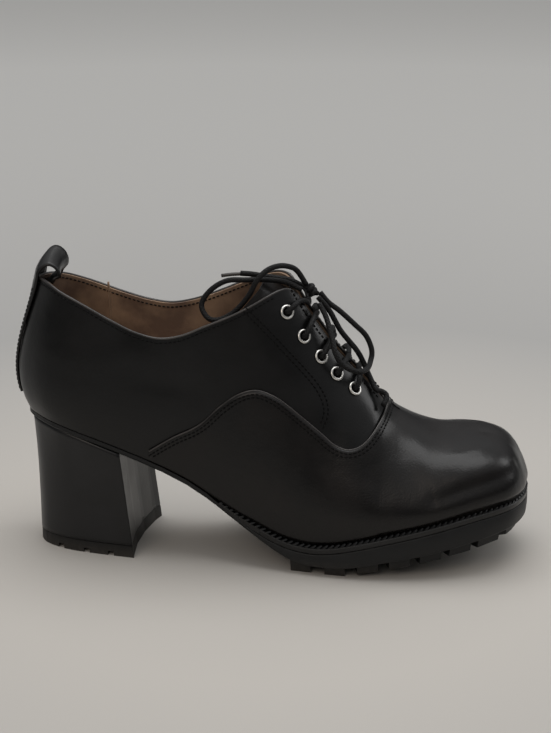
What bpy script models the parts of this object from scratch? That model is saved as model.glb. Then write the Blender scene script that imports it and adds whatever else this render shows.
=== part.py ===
"""Heeled oxford shoe for the right foot, standing empty on its sole.

Everything is worked out from one shoe last: a table of sections from the toe tip to the
back of the heel. The toe points to +X, the outer (lateral) side is -Y and +Z is up.
Sizes are millimetres in the tables and become metres when a mesh is made.
"""

import bisect
import math
from collections import namedtuple

import bmesh
import bpy
import numpy as np
from mathutils import Vector

MM = 0.001
SHOE = "heeled_oxford_shoe"

# The frame's origin, measured in the last's own axes: x from the back of the counter,
# y from the middle of the heel.
ORIGIN_X = 124.6
ORIGIN_Y = 3.4

# Thicknesses and gaps
GAP = 0.3
WALL = 2.0
VAMP_THICK = 1.0
VAMP_GAP = 0.6
VAMP_EDGE_RISE = 0.5
VAMP_CLEARANCE = 0.9
VAMP_END_X = 69.0
TONGUE_THICK = 1.8
TONGUE_GAP = 0.8
INSOLE_THICK = 2.6
WELT_THICK = 2.7
WELT_REACH = 3.0
WELT_START_X = 103.0
STEP_INSET = 3.3
STRAP_THICK = 1.2

# Eyelets: their places along the throat and across it, and their sizes
EYELET_XS = (133.4, 141.4, 149.5, 156.9, 165.5)
EYELET_ACROSS = 14.0
EYELET_HOLE_R = 2.15
EYELET_BARREL_R = 2.45
EYELET_FLANGE_R = 3.5
EYELET_SIDES = 10

# Lace
LACE_R = 1.3
LACE_SIDES = 8
CROSS_RINGS = 9
BAR_RINGS = 14
KNOT_CENTRE = (143.9, 0.0, 130.3)
KNOT_AXIS = (0.53, 0.0, -0.848)
KNOT_R = 2.2
KNOT_HALF_LENGTH = 2.6

Station = namedtuple("Station", "ridge_x ridge_y ridge_z lat_x lat_y med_x med_y square puff")

# One row for each section of the last, from the toe tip to the back of the heel. The ridge
# is the top of the section, lat and med are where it meets the welt on each side, square
# is the roundness exponent of the section and puff its swell above the welt.
LAST = (
    Station(226.0, 7.0, 58.0, 247.0, 5.0, 247.0, 5.0, 2.50, 1.4),
    Station(224.5, 7.0, 58.2, 245.2, -9.0, 245.4, 18.5, 2.80, 1.4),
    Station(221.5, 7.0, 58.5, 240.0, -19.8, 240.4, 28.6, 3.30, 1.4),
    Station(217.0, 7.0, 58.6, 231.5, -26.6, 231.5, 34.8, 3.70, 1.4),
    Station(211.5, 6.8, 58.4, 220.5, -31.2, 219.0, 39.3, 3.50, 1.5),
    Station(205.0, 6.4, 59.4, 209.0, -34.2, 207.0, 42.0, 2.80, 1.7),
    Station(198.0, 6.0, 62.4, 199.5, -35.7, 197.5, 43.4, 2.35, 1.9),
    Station(190.0, 5.0, 66.8, 190.0, -36.7, 188.5, 44.0, 2.10, 2.0),
    Station(182.0, 3.5, 72.6, 181.0, -37.2, 180.0, 44.0, 2.00, 2.2),
    Station(175.0, 2.2, 82.8, 174.0, -37.2, 173.5, 43.4, 1.90, 2.3),
    Station(165.5, 1.0, 93.4, 165.0, -36.8, 165.0, 42.6, 1.85, 2.3),
    Station(157.0, 0.3, 103.2, 156.5, -35.8, 157.0, 41.2, 1.80, 2.2),
    Station(149.5, 0.0, 113.6, 149.0, -34.8, 149.5, 39.2, 1.80, 2.0),
    Station(141.4, 0.0, 125.6, 141.0, -33.4, 141.5, 36.4, 1.80, 1.8),
    Station(133.4, 0.0, 139.6, 133.0, -32.0, 133.0, 33.4, 1.82, 1.6),
    Station(125.0, 0.0, 152.0, 124.0, -30.2, 124.0, 30.4, 1.90, 1.5),
    Station(115.0, 0.0, 161.5, 114.0, -28.6, 114.0, 27.6, 1.95, 1.3),
    Station(103.0, 0.0, 167.0, 102.5, -26.8, 102.5, 25.0, 2.00, 1.0),
    Station(90.0, 0.0, 168.5, 90.0, -25.6, 90.0, 23.8, 2.10, 0.8),
    Station(75.0, 0.0, 168.5, 75.0, -25.8, 75.0, 24.4, 2.20, 1.0),
    Station(60.0, 0.0, 168.5, 60.0, -26.6, 60.0, 25.8, 2.30, 1.5),
    Station(50.0, 0.0, 169.0, 46.0, -26.8, 46.0, 26.6, 2.35, 2.2),
    Station(46.0, 0.0, 169.5, 33.0, -25.8, 33.0, 25.8, 2.40, 3.0),
    Station(45.0, 0.0, 170.0, 21.0, -21.6, 21.0, 21.6, 2.40, 3.8),
    Station(45.0, 0.0, 170.0, 12.0, -14.0, 12.0, 14.0, 2.40, 4.3),
    Station(45.0, 0.0, 170.0, 7.1, -7.2, 7.1, 7.2, 2.40, 4.5),
    Station(45.0, 0.0, 170.0, 5.5, 0.0, 5.5, 0.0, 2.40, 4.5),
)
LAST_END = len(LAST) - 1.0

# Height of the line where the upper meets the sole, and of the sole's lower edge, along x.
SoleRow = namedtuple("SoleRow", "x feather bottom")
SOLE_LINE = (
    SoleRow(4, 69.5, 66.5),
    SoleRow(20, 67.6, 64.6),
    SoleRow(35, 63.8, 60.8),
    SoleRow(50, 58.6, 55.6),
    SoleRow(63, 53.4, 50.4),
    SoleRow(74, 48.5, 45.5),
    SoleRow(84, 43.5, 40.4),
    SoleRow(93, 38.1, 34.9),
    SoleRow(102, 32.3, 28.9),
    SoleRow(111, 26.8, 22.7),
    SoleRow(121, 21.7, 16.0),
    SoleRow(130, 17.7, 10.4),
    SoleRow(138, 15.4, 6.7),
    SoleRow(146, 14.5, 5.0),
    SoleRow(156, 15.2, 4.8),
    SoleRow(166, 17.4, 5.6),
    SoleRow(180, 21.0, 8.5),
    SoleRow(200, 25.9, 12.4),
    SoleRow(213, 29.3, 15.6),
    SoleRow(225, 32.2, 18.6),
    SoleRow(236, 34.0, 21.2),
    SoleRow(250, 35.3, 23.6),
)
LUG_DEPTH = 4.8
LUG_FLAT_END_X = 164.0
LUG_STARTS = (137.5, 154.0, 169.6, 184.6, 199.0, 212.9, 226.2)
LUG_LENGTH = 9.8
LUG_REACH = 17.0

# Height of the top edge round the ankle on each side, along x.
TopRow = namedtuple("TopRow", "x lateral medial")
TOPLINE = (
    TopRow(8, 134.0, 134.0),
    TopRow(18, 134.4, 132.2),
    TopRow(27, 131.0, 128.7),
    TopRow(36, 127.2, 125.2),
    TopRow(50, 119.9, 120.4),
    TopRow(63, 113.6, 117.3),
    TopRow(74, 110.8, 116.5),
    TopRow(84, 112.0, 118.6),
    TopRow(96, 116.9, 123.2),
    TopRow(108, 122.0, 128.6),
    TopRow(118, 127.0, 133.0),
    TopRow(125, 130.8, 135.6),
    TopRow(130, 132.8, 136.6),
    TopRow(134, 132.8, 135.8),
    TopRow(138, 129.6, 131.6),
    TopRow(142, 124.6, 126.0),
)
THROAT_START_X = 125.0
THROAT_END_X = 181.0
THROAT_HALF_GAP = 4.6

# Height of the vamp's top edge, where it lies over the quarters, along x.
SeamRow = namedtuple("SeamRow", "x z")
VAMP_SEAM = (
    SeamRow(60, 50.5),
    SeamRow(64, 53.0),
    SeamRow(80, 63.0),
    SeamRow(94, 70.5),
    SeamRow(104, 80.0),
    SeamRow(113, 86.2),
    SeamRow(120, 88.0),
    SeamRow(129, 85.2),
    SeamRow(141, 76.4),
    SeamRow(150, 69.2),
    SeamRow(158, 62.8),
    SeamRow(165, 61.0),
    SeamRow(172, 64.0),
    SeamRow(177, 70.0),
    SeamRow(180.4, 75.5),
    SeamRow(183, 84.0),
)

# Half of the heel's plan from the breast to the back: at its seat and at its foot.
HeelRow = namedtuple("HeelRow", "seat_x seat_y foot_x foot_y")
HEEL_PLAN = (
    HeelRow(70.0, 25.6, 73.0, 28.9),
    HeelRow(58.0, 26.6, 61.0, 26.8),
    HeelRow(45.0, 26.6, 48.0, 24.6),
    HeelRow(34.0, 25.0, 36.0, 22.2),
    HeelRow(23.0, 21.0, 25.0, 19.0),
    HeelRow(13.8, 13.6, 15.2, 13.2),
    HeelRow(8.9, 7.0, 10.6, 6.8),
    HeelRow(7.3, 0.0, 9.2, 0.0),
)
TOP_PIECE_THICK = 6.0
BREAST_SEAT_X = 52.8
BREAST_FOOT_X = 58.9
BREAST_SEAT_Z = 55.0
BREAST_HOLLOW_R = 118.0
BREAST_TURN = math.radians(4.5)
BREAST_SIDES = 48
HEEL_GROOVES_X = (21.0, 34.5, 47.0)
GROOVE_WIDTH = 3.0
GROOVE_DEPTH = 2.2


# The tongue: where it starts and ends, and the flatter slope of its top above the facings
TONGUE_START_X = 184.0
TONGUE_END_X = 110.0
TONGUE_HALF_WIDTH = 20.0
TONGUE_FLAT_X = 141.4
TONGUE_FLAT_Z = 123.5
TONGUE_FLAT_SLOPE = -0.5
TONGUE_TOP_POINT = (124.0, 0.0, 137.4)
TONGUE_TOP_NORMAL = (-0.754, 0.0, 0.656)

# Height of a lace crossing above the middle of the throat, by the eyelet row it starts from
CROSSING_ARCH = {1: 1.0, 2: 1.6, 3: 0.6}
TOP_BAR_X = 142.0
TOP_BAR_LIFT = 0.3
LOW_BAR_X = 165.8
LOW_BAR_LIFT = 0.4

# The strip up the back and its pull loop. wrap and lean fade in how far a row follows the
# roundness of the heel and how far its inner side stands higher.
STRAP_OUTER_ZS = (76.0, 79.0, 82.0, 86.0, 90.0, 95.0, 100.0, 106.0, 112.0, 118.0, 124.0, 130.0)
STRAP_INNER_ZS = (129.0, 124.5, 120.0)
STRAP_LOW_HALF = 3.0
STRAP_INNER_GAP = 0.9
STRAP_SPREAD = 0.105
LOOP_HALF = 9.0
LOOP_TILT = 0.27
LoopRow = namedtuple("LoopRow", "x z wrap lean")
PULL_LOOP = (
    LoopRow(11.9, 135.0, 0.8, 0.1),
    LoopRow(12.9, 138.6, 0.6, 0.6),
    LoopRow(15.2, 141.7, 0.4, 1.0),
    LoopRow(18.6, 143.4, 0.3, 1.0),
    LoopRow(21.4, 142.0, 0.3, 1.0),
    LoopRow(22.8, 139.2, 0.4, 0.9),
    LoopRow(22.2, 137.0, 0.6, 0.5),
    LoopRow(19.6, 135.6, 0.8, 0.1),
    LoopRow(16.9, 132.6, 1.1, 0.0),
)
HEEL_ROUND_R = 13.0

# The bow, in the last's axes: two loops, two ends and the tip of one end
LOOP_BACK = (
    (141.3, -0.1, 133.0), (137.5, -2.0, 139.7), (134.2, -4.0, 142.4), (129.0, -6.5, 143.4),
    (123.4, -9.5, 141.7), (119.0, -12.0, 137.1), (115.1, -12.5, 129.8), (108.8, -12.8, 122.4),
    (101.8, -13.5, 118.4), (96.1, -13.2, 118.9), (92.7, -10.5, 124.5), (96.6, -9.0, 131.1),
    (104.4, -8.0, 135.9), (113.7, -7.0, 136.3), (123.7, -5.0, 136.1), (132.2, -4.2, 134.9),
    (139.7, -4.2, 131.6),
)
LOOP_FRONT = (
    (147.7, 3.2, 128.4), (151.8, 3.0, 123.6), (157.3, 3.0, 119.5), (164.7, 3.0, 112.8),
    (169.9, 3.0, 107.6), (172.8, 2.0, 100.9), (172.4, -0.5, 96.1), (171.2, -8.0, 94.6),
    (167.4, -16.0, 95.6), (160.9, -17.5, 98.7), (157.1, -17.5, 104.0), (154.6, -13.0, 111.4),
    (151.4, -7.0, 119.3), (147.8, -3.6, 124.8),
)
END_BACK = (
    (109.9, 1.0, 137.3), (115.1, 1.0, 137.1), (120.2, 0.5, 136.6), (126.4, 0.3, 135.9),
    (132.6, 0.3, 135.1), (137.2, 1.0, 133.2), (139.6, 2.3, 131.3),
)
END_FRONT = (
    (147.0, -0.3, 127.1), (152.5, -0.3, 120.5), (158.1, -0.3, 110.6), (165.6, 0.0, 101.3),
    (169.2, 0.0, 94.8), (171.4, -1.5, 90.3), (173.4, -3.5, 86.8), (175.5, -6.0, 83.7),
    (177.9, -6.2, 83.1), (180.4, -6.5, 81.7), (180.7, -8.2, 79.9), (179.2, -10.8, 77.4),
)
TIP_BACK = ((100.8, 1.0, 135.9), (105.1, 1.0, 136.6), (109.5, 1.0, 137.25))
TIP_R = 0.85
UPPER_ROWS = 8
INSIDE_POINT = (100.0, 0.0, 60.0)


def column(table, name):
    """One named column of a table of rows."""
    return [getattr(row, name) for row in table]


def smooth_curve(xs, ys):
    """A function for the smooth curve through the rows (xs, ys), level beyond its ends."""
    xs, ys = [float(x) for x in xs], [float(y) for y in ys]
    slopes = [float(k) for k in np.gradient(ys, xs)]

    def value(x):
        x = min(max(x, xs[0]), xs[-1])
        i = min(max(bisect.bisect_left(xs, x) - 1, 0), len(xs) - 2)
        h = xs[i + 1] - xs[i]
        u = (x - xs[i]) / h
        rise = (2 * u**3 - 3 * u**2 + 1) * ys[i] + (3 * u**2 - 2 * u**3) * ys[i + 1]
        return rise + h * ((u**3 - 2 * u**2 + u) * slopes[i] + (u**3 - u**2) * slopes[i + 1])

    return value


LAST_CURVES = {name: smooth_curve(range(len(LAST)), column(LAST, name)) for name in Station._fields}
HEEL_CURVES = {
    name: smooth_curve(range(len(HEEL_PLAN)), column(HEEL_PLAN, name)) for name in HeelRow._fields
}
feather_z = smooth_curve(column(SOLE_LINE, "x"), column(SOLE_LINE, "feather"))
sole_bottom_z = smooth_curve(column(SOLE_LINE, "x"), column(SOLE_LINE, "bottom"))
vamp_seam_z = smooth_curve(column(VAMP_SEAM, "x"), column(VAMP_SEAM, "z"))
welt_height = smooth_curve((98, 103, 122, 140), (0.9, 1.0, WELT_THICK, WELT_THICK))
TOPLINE_CURVES = {
    -1: smooth_curve(column(TOPLINE, "x"), column(TOPLINE, "lateral")),
    1: smooth_curve(column(TOPLINE, "x"), column(TOPLINE, "medial")),
}
# How far the sole's edge stands out of the upper's lower edge, along x
sole_reach = smooth_curve(
    (8, 40, 75, 98, 122, 225, 247), (0.0, 0.4, 0.7, 1.1, WELT_REACH, WELT_REACH, 2.6))


def last_value(name, t):
    """A column of the last at section t, from 0 at the toe tip to LAST_END at the heel."""
    return LAST_CURVES[name](t)


def lug_bottom_z(x):
    return max(0.0, sole_bottom_z(x) - LUG_DEPTH) if x > LUG_FLAT_END_X else 0.0


def side_name(side):
    return "lat" if side < 0 else "med"


def feather_point(side, t):
    """Plan position of the upper's lower edge at section t. side is -1 or 1."""
    prefix = side_name(side)
    return np.array([last_value(prefix + "_x", t), last_value(prefix + "_y", t)])


def last_point(side, t, turn):
    """A point of the last's surface. turn goes from 0 at the welt to pi/2 at the ridge."""
    prefix = side_name(side)
    foot_x, foot_y = last_value(prefix + "_x", t), last_value(prefix + "_y", t)
    ridge_x, ridge_y = last_value("ridge_x", t), last_value("ridge_y", t)
    power = 2.0 / last_value("square", t)
    high = math.sin(turn) ** power
    wide = max(0.0, math.cos(turn)) ** power
    reach = math.hypot(foot_x - ridge_x, foot_y - ridge_y)
    swell_place = min(1.0, high / 0.6)
    swell = last_value("puff", t) * 6.75 * swell_place * (1 - swell_place) ** 2
    share = wide + swell / reach
    low = feather_z(foot_x)
    return np.array([
        ridge_x + (foot_x - ridge_x) * share,
        ridge_y + (foot_y - ridge_y) * share,
        low + (last_value("ridge_z", t) - low) * high,
    ])


def ridge_normal(t):
    """Upward unit normal of the last along its ridge."""
    before, after = max(0.0, t - 0.02), min(LAST_END, t + 0.02)
    dx = last_value("ridge_x", before) - last_value("ridge_x", after)
    dz = last_value("ridge_z", before) - last_value("ridge_z", after)
    length = math.hypot(dx, dz)
    return np.array([-dz, 0.0, dx]) / length if length > 1e-6 else np.array([0.0, 0.0, 1.0])


def last_normal(side, t, turn):
    """Outward unit normal of the last's surface."""
    if turn > math.pi / 2 - 0.02:
        return ridge_normal(t)
    dt, da = 0.02, 0.01
    t0, t1 = max(0.0, t - dt), min(LAST_END, t + dt)
    a0, a1 = max(1e-4, turn - da), min(math.pi / 2 - 1e-4, turn + da)
    along = last_point(side, t1, turn) - last_point(side, t0, turn)
    up = last_point(side, t, a1) - last_point(side, t, a0)
    if t < dt:
        along = np.array([0.0, float(side), 0.0])
    if t > LAST_END - dt:
        along = np.array([0.0, -float(side), 0.0])
    normal = np.cross(along, up) * side
    return normal / max(np.linalg.norm(normal), 1e-9)


def skin(side, t, turn, lift):
    """A point lifted from the last's surface by lift, outwards where it is positive."""
    return last_point(side, t, turn) + lift * last_normal(side, t, turn)


def section_at(side, x):
    """The section t whose lower edge is at x on that side."""
    low, high = 0.0, LAST_END
    for _ in range(40):
        middle = (low + high) / 2
        low, high = (middle, high) if feather_point(side, middle)[0] > x else (low, middle)
    return (low + high) / 2


def turn_where(side, t, reached):
    """The turn at which reached(point) becomes true on section t, or the ridge."""
    low, high = 0.0, math.pi / 2
    if not reached(last_point(side, t, high - 1e-6)):
        return high
    for _ in range(36):
        middle = (low + high) / 2
        low, high = (low, middle) if reached(last_point(side, t, middle)) else (middle, high)
    return (low + high) / 2


def throat_half_gap(x):
    """Half of the open throat's width at x, closing to a point at the vamp."""
    closing = np.clip((THROAT_END_X - x) / 6.0, 0.0, 1.0)
    return THROAT_HALF_GAP * math.sqrt(closing)


def upper_top_turn(side, t):
    """Where the upper ends at section t: at the topline, the throat's edge or the ridge."""
    if t >= LAST_END:
        side = -1
    if t < 7.0:
        return math.pi / 2

    def reached(point):
        from_middle = abs(point[1] - last_value("ridge_y", t))
        over_throat = point[0] > THROAT_START_X and from_middle < throat_half_gap(point[0])
        over_topline = point[0] < TOPLINE[-1].x and point[2] > TOPLINE_CURVES[side](point[0])
        return point[0] < THROAT_END_X and (over_throat or over_topline)

    return turn_where(side, t, reached)


def vamp_top_turn(side, t):
    """Where the vamp ends at section t: at its seam over the quarters, or the ridge."""
    return turn_where(
        side, t, lambda point: point[0] < VAMP_SEAM[-1].x and point[2] > vamp_seam_z(point[0]))


def to_frame(points):
    """Millimetres in the last's axes to metres in the part's frame."""
    return (np.asarray(points, float) - np.array([ORIGIN_X, ORIGIN_Y, 0.0])) * MM


def new_collection(name):
    made = bpy.data.collections.new(name)
    bpy.context.scene.collection.children.link(made)
    return made


def material(name, colour, roughness, metallic=0.0):
    made = bpy.data.materials.new(name)
    made.use_nodes = True
    shader = made.node_tree.nodes["Principled BSDF"]
    shader.inputs["Base Color"].default_value = (*colour, 1.0)
    shader.inputs["Roughness"].default_value = roughness
    shader.inputs["Metallic"].default_value = metallic
    made.diffuse_color = (*colour, 1.0)
    return made


def add_object(name, data, collection, finish):
    made = bpy.data.objects.new(name, data)
    collection.objects.link(made)
    if finish is not None:
        made.data.materials.append(finish)
    return made


def mesh_from(name, points, faces):
    """A mesh with merged corners and its faces turned outwards."""
    mesh = bpy.data.meshes.new(name)
    mesh.from_pydata([tuple(p) for p in to_frame(points)], [], faces)
    work = bmesh.new()
    work.from_mesh(mesh)
    bmesh.ops.remove_doubles(work, verts=work.verts, dist=0.02 * MM)
    bmesh.ops.dissolve_degenerate(work, dist=0.005 * MM, edges=work.edges)
    bmesh.ops.recalc_face_normals(work, faces=work.faces)
    work.to_mesh(mesh)
    work.free()
    mesh.shade_smooth()
    mesh.set_sharp_from_angle(angle=math.radians(35))
    return mesh


def grid_faces(rows, columns, first=0):
    """Four-sided faces of a grid of points kept row by row."""
    return [
        (first + r * columns + c, first + r * columns + c + 1,
         first + (r + 1) * columns + c + 1, first + (r + 1) * columns + c)
        for r in range(rows - 1)
        for c in range(columns - 1)
    ]


def shell(name, points_by_side, thickness, collection, finish, outward=False):
    """An open surface given as one grid for each side, made solid to one side of it."""
    points, faces = [], []
    for grid in points_by_side:
        rows, columns = len(grid), len(grid[0])
        faces += grid_faces(rows, columns, len(points))
        points += [p for row in grid for p in row]
    made = add_object(name, mesh_from(name, points, faces), collection, finish)
    solid = made.modifiers.new("Wall", "SOLIDIFY")
    solid.thickness = thickness * MM
    solid.offset = 1.0 if outward else -1.0
    solid.use_even_offset = True
    return made


def face_away_from(made, inside):
    """Turns an open surface so that its faces look away from a point inside the shoe."""
    mesh = made.data
    inside = Vector(to_frame([inside])[0])
    facing = sum((p.center - inside).dot(p.normal) * p.area for p in mesh.polygons)
    if facing < 0:
        mesh.flip_normals()


def rim_point(side, t, offset):
    """Plan point beside the upper's lower edge, offset outwards."""
    step = 0.03
    t0, t1 = max(0.0, t - step), min(LAST_END, t + step)
    along = feather_point(side, t1) - feather_point(side, t0)
    if t < step:
        along = np.array([0.0, float(side)])
    if t > LAST_END - step:
        along = np.array([0.0, -float(side)])
    outward = np.array([-along[1], along[0]]) * side * -1.0
    outward /= np.linalg.norm(outward)
    return feather_point(side, t) + outward * offset


def sole_sections():
    """Sections for the sole's rings, closer together round the toe and the heel."""
    toe = np.linspace(0.0, 4.0, 11)
    middle = np.linspace(4.0, 22.0, 25)[1:]
    back = np.linspace(22.0, LAST_END, 9)[1:]
    return np.concatenate([toe, middle, back])


def sole_ring(offset, height):
    """A closed ring round the sole. offset and height are functions of x."""
    sections = sole_sections()
    lateral = [rim_point(-1, t, offset(feather_point(-1, t)[0])) for t in sections]
    medial = [rim_point(1, t, offset(feather_point(1, t)[0])) for t in sections[1:-1]]
    plan = lateral + medial[::-1]
    return [(p[0], p[1], height(p[0])) for p in plan]


def ring_solid(name, rings, collection, finish):
    """A solid skinned over closed rings of equal length, from the lowest to the highest."""
    count = len(rings[0])
    points = [p for ring in rings for p in ring]
    faces = []
    for level in range(len(rings) - 1):
        base = level * count
        faces += [
            (base + i, base + (i + 1) % count, base + count + (i + 1) % count, base + count + i)
            for i in range(count)
        ]
    half = count // 2
    for base in (0, (len(rings) - 1) * count):
        faces.append((base, base + 1, base + count - 1))
        faces += [
            (base + i, base + i + 1, base + count - i - 1, base + count - i)
            for i in range(1, half - 1)
        ]
        faces.append((base + half - 1, base + half, base + half + 1))
    return add_object(name, mesh_from(name, points, faces), collection, finish)


def prism(name, outline_low, outline_high, collection):
    """A block between two outlines of equal length, used to join or to cut."""
    count = len(outline_low)
    faces = [tuple(range(count)), tuple(range(count, 2 * count))]
    faces += [(i, (i + 1) % count, count + (i + 1) % count, count + i) for i in range(count)]
    mesh = mesh_from(name, list(outline_low) + list(outline_high), faces)
    return add_object(name, mesh, collection, None)


def hide_tool(tool):
    tool.hide_render = True
    tool.display_type = "WIRE"


def combine(target, tool, operation):
    """Joins or cuts target with tool by an exact Boolean."""
    hide_tool(tool)
    step = target.modifiers.new(operation.title(), "BOOLEAN")
    step.operation = operation
    step.solver = "EXACT"
    step.object = tool


def join_meshes(name, parts, collection):
    """One tool object from several separate ones."""
    work = bmesh.new()
    for part in parts:
        piece = part.data.copy()
        piece.transform(part.matrix_world)
        work.from_mesh(piece)
        bpy.data.meshes.remove(piece)
        bpy.data.objects.remove(part)
    mesh = bpy.data.meshes.new(name)
    work.to_mesh(mesh)
    work.free()
    return add_object(name, mesh, collection, None)


def upper_sections():
    """Sections for the upper and the vamp, closest together at the toe and the throat."""
    toe = np.linspace(0.0, 8.0, 11)
    throat_end = np.linspace(8.0, 8.4, 9)[1:]
    throat = np.linspace(8.4, 16.0, 15)[1:]
    ankle = np.linspace(16.0, LAST_END, 12)[1:]
    return np.concatenate([toe, throat_end, throat, ankle])


def spread_turns(side, t, start, top_turn):
    """Turns of a section's rows: even, following the neighbouring sections, up to its top."""
    top = top_turn(side, t)
    near = [min(max(t + step, 0.0), LAST_END) for step in np.linspace(-1.5, 1.5, 7)]
    reach = max(top, sum(top_turn(side, place) for place in near) / len(near))
    turns = np.minimum(np.linspace(start, reach, UPPER_ROWS + 1), top)
    turns[-1] = top
    return turns


def build_upper(parts, cutters, finish):
    """The hollow upper: open at the collar, along the throat and underneath."""
    grids = []
    for side in (-1, 1):
        grids.append([
            [last_point(side, t, upper_top_turn(side, t) * r / UPPER_ROWS)
             for r in range(UPPER_ROWS + 1)]
            for t in upper_sections()
        ])
    upper = shell("upper", grids, WALL, parts, finish)
    face_away_from(upper, INSIDE_POINT)
    combine(upper, eyelet_holes(cutters), "DIFFERENCE")
    return upper


def build_vamp(parts, finish):
    """The vamp: the leather that lies over the front of the upper, up to its seam."""
    lifts = VAMP_GAP + VAMP_EDGE_RISE * np.linspace(0.0, 1.0, UPPER_ROWS + 1) ** 3
    grids = []
    for side in (-1, 1):
        last_section = section_at(side, VAMP_END_X)
        grid = []
        for t in [t for t in upper_sections() if t < last_section - 0.2] + [last_section]:
            lowest = feather_z(feather_point(side, t)[0]) + VAMP_CLEARANCE
            start = turn_where(side, t, lambda point: point[2] > lowest)
            turns = spread_turns(side, t, start, vamp_top_turn)
            grid.append([skin(side, t, turn, lift) for turn, lift in zip(turns, lifts)])
        grids.append(grid)
    vamp = shell("vamp", grids, VAMP_THICK, parts, finish, outward=True)
    face_away_from(vamp, INSIDE_POINT)
    return vamp


def tongue_point(side, t, across):
    """A point of the tongue's outer face, across millimetres from its middle line."""
    point = over_throat(side, t, across, -(WALL + TONGUE_GAP))
    cap = TONGUE_FLAT_Z + TONGUE_FLAT_SLOPE * (point[0] - TONGUE_FLAT_X)
    if point[0] < TONGUE_FLAT_X and point[2] > cap:
        point[2] = cap + 0.05 * (point[2] - cap)
    return point


def build_tongue(parts, finish):
    """The tongue under the throat, cut off along its slanting top edge."""
    first, last = section_at(-1, TONGUE_START_X), section_at(-1, TONGUE_END_X)
    grids = []
    for side in (-1, 1):
        grids.append([
            [tongue_point(side, t, TONGUE_HALF_WIDTH * c / 5) for c in range(6)]
            for t in np.linspace(first, last, 13)
        ])
    tongue = shell("tongue", grids, TONGUE_THICK, parts, finish)
    cut = bmesh.new()
    cut.from_mesh(tongue.data)
    bmesh.ops.bisect_plane(
        cut, geom=cut.verts[:] + cut.edges[:] + cut.faces[:], dist=1e-6,
        plane_co=to_frame([TONGUE_TOP_POINT])[0], plane_no=TONGUE_TOP_NORMAL, clear_outer=True,
    )
    cut.to_mesh(tongue.data)
    cut.free()
    face_away_from(tongue, INSIDE_POINT)
    return tongue


def over_throat(side, t, across, lift):
    """A point beside the throat's middle line on section t, lifted from the surface."""
    middle = last_value("ridge_y", t)
    turn = turn_where(side, t, lambda point: abs(point[1] - middle) <= across)
    return skin(side, t, turn, lift)


def eyelet_frame(side, x):
    """Centre of an eyelet on the upper's surface, and the direction out of it."""
    t = section_at(side, x)
    centre = over_throat(side, t, EYELET_ACROSS, 0.0)
    return centre, over_throat(side, t, EYELET_ACROSS, 1.0) - centre


def turned(centre, axis, profile, sides):
    """Rings of points round an axis: profile rows are radius and height along the axis."""
    axis = Vector(axis).normalized()
    first = axis.orthogonal().normalized()
    second = axis.cross(first)
    rings = []
    for radius, height in profile:
        ring = []
        for i in range(sides):
            angle = 2 * math.pi * i / sides
            spoke = first * (radius * math.cos(angle)) + second * (radius * math.sin(angle))
            ring.append(tuple(Vector(centre) + spoke + axis * height))
        rings.append(ring)
    return rings


def loft(name, rings, collection, finish, joined_ends):
    """A solid over closed rings: its ends are capped, or joined where it is a ring itself."""
    count, levels = len(rings[0]), len(rings)
    points = [p for ring in rings for p in ring]
    faces = []
    for level in range(levels if joined_ends else levels - 1):
        low, high = level * count, (level + 1) % levels * count
        faces += [(low + i, low + (i + 1) % count, high + (i + 1) % count, high + i)
                  for i in range(count)]
    if not joined_ends:
        faces += [tuple(range(count)), tuple(range((levels - 1) * count, levels * count))]
    return add_object(name, mesh_from(name, points, faces), collection, finish)


def eyelet_holes(cutters):
    """One tool that cuts every eyelet's hole through the upper."""
    tools = []
    for side in (-1, 1):
        for x in EYELET_XS:
            centre, axis = eyelet_frame(side, x)
            profile = [(EYELET_BARREL_R + GAP, -4.5), (EYELET_BARREL_R + GAP, 3.0)]
            rings = turned(centre, axis, profile, EYELET_SIDES)
            tools.append(loft("hole", rings, cutters, None, False))
    return join_meshes("eyelet_holes", tools, cutters)


def build_eyelets(parts, finish):
    """Five metal eyelets on each side: a flange over the leather and a barrel through it."""
    low, seat = 0.05 - WALL, GAP + 0.05
    profile = [
        (EYELET_HOLE_R, low), (EYELET_HOLE_R, seat + 0.3), (EYELET_HOLE_R + 0.7, seat + 0.6),
        (EYELET_FLANGE_R, seat), (EYELET_BARREL_R, seat), (EYELET_BARREL_R, low),
    ]
    for side, place in ((-1, "outer"), (1, "inner")):
        for row, x in enumerate(EYELET_XS, start=1):
            centre, axis = eyelet_frame(side, x)
            rings = turned(centre, axis, profile, EYELET_SIDES)
            loft(f"eyelet_{place}_{row}", rings, parts, finish, True)


def smooth_route(points, count):
    """Points evenly spread along a smooth curve through the route's own points."""
    points = [np.asarray(p, float) for p in points]
    ends = [2 * points[0] - points[1]] + points + [2 * points[-1] - points[-2]]
    fine = []
    for a, b, c, d in zip(ends, ends[1:], ends[2:], ends[3:]):
        for u in np.linspace(0.0, 1.0, 12, endpoint=False):
            fine.append(0.5 * (2 * b + (c - a) * u + (2 * a - 5 * b + 4 * c - d) * u**2
                               + (3 * b - a - 3 * c + d) * u**3))
    fine = np.array(fine + [points[-1]])
    along = np.concatenate([[0.0], np.cumsum(np.linalg.norm(np.diff(fine, axis=0), axis=1))])
    spots = np.linspace(0.0, along[-1], count)
    return np.column_stack([np.interp(spots, along, fine[:, k]) for k in range(3)])


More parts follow.
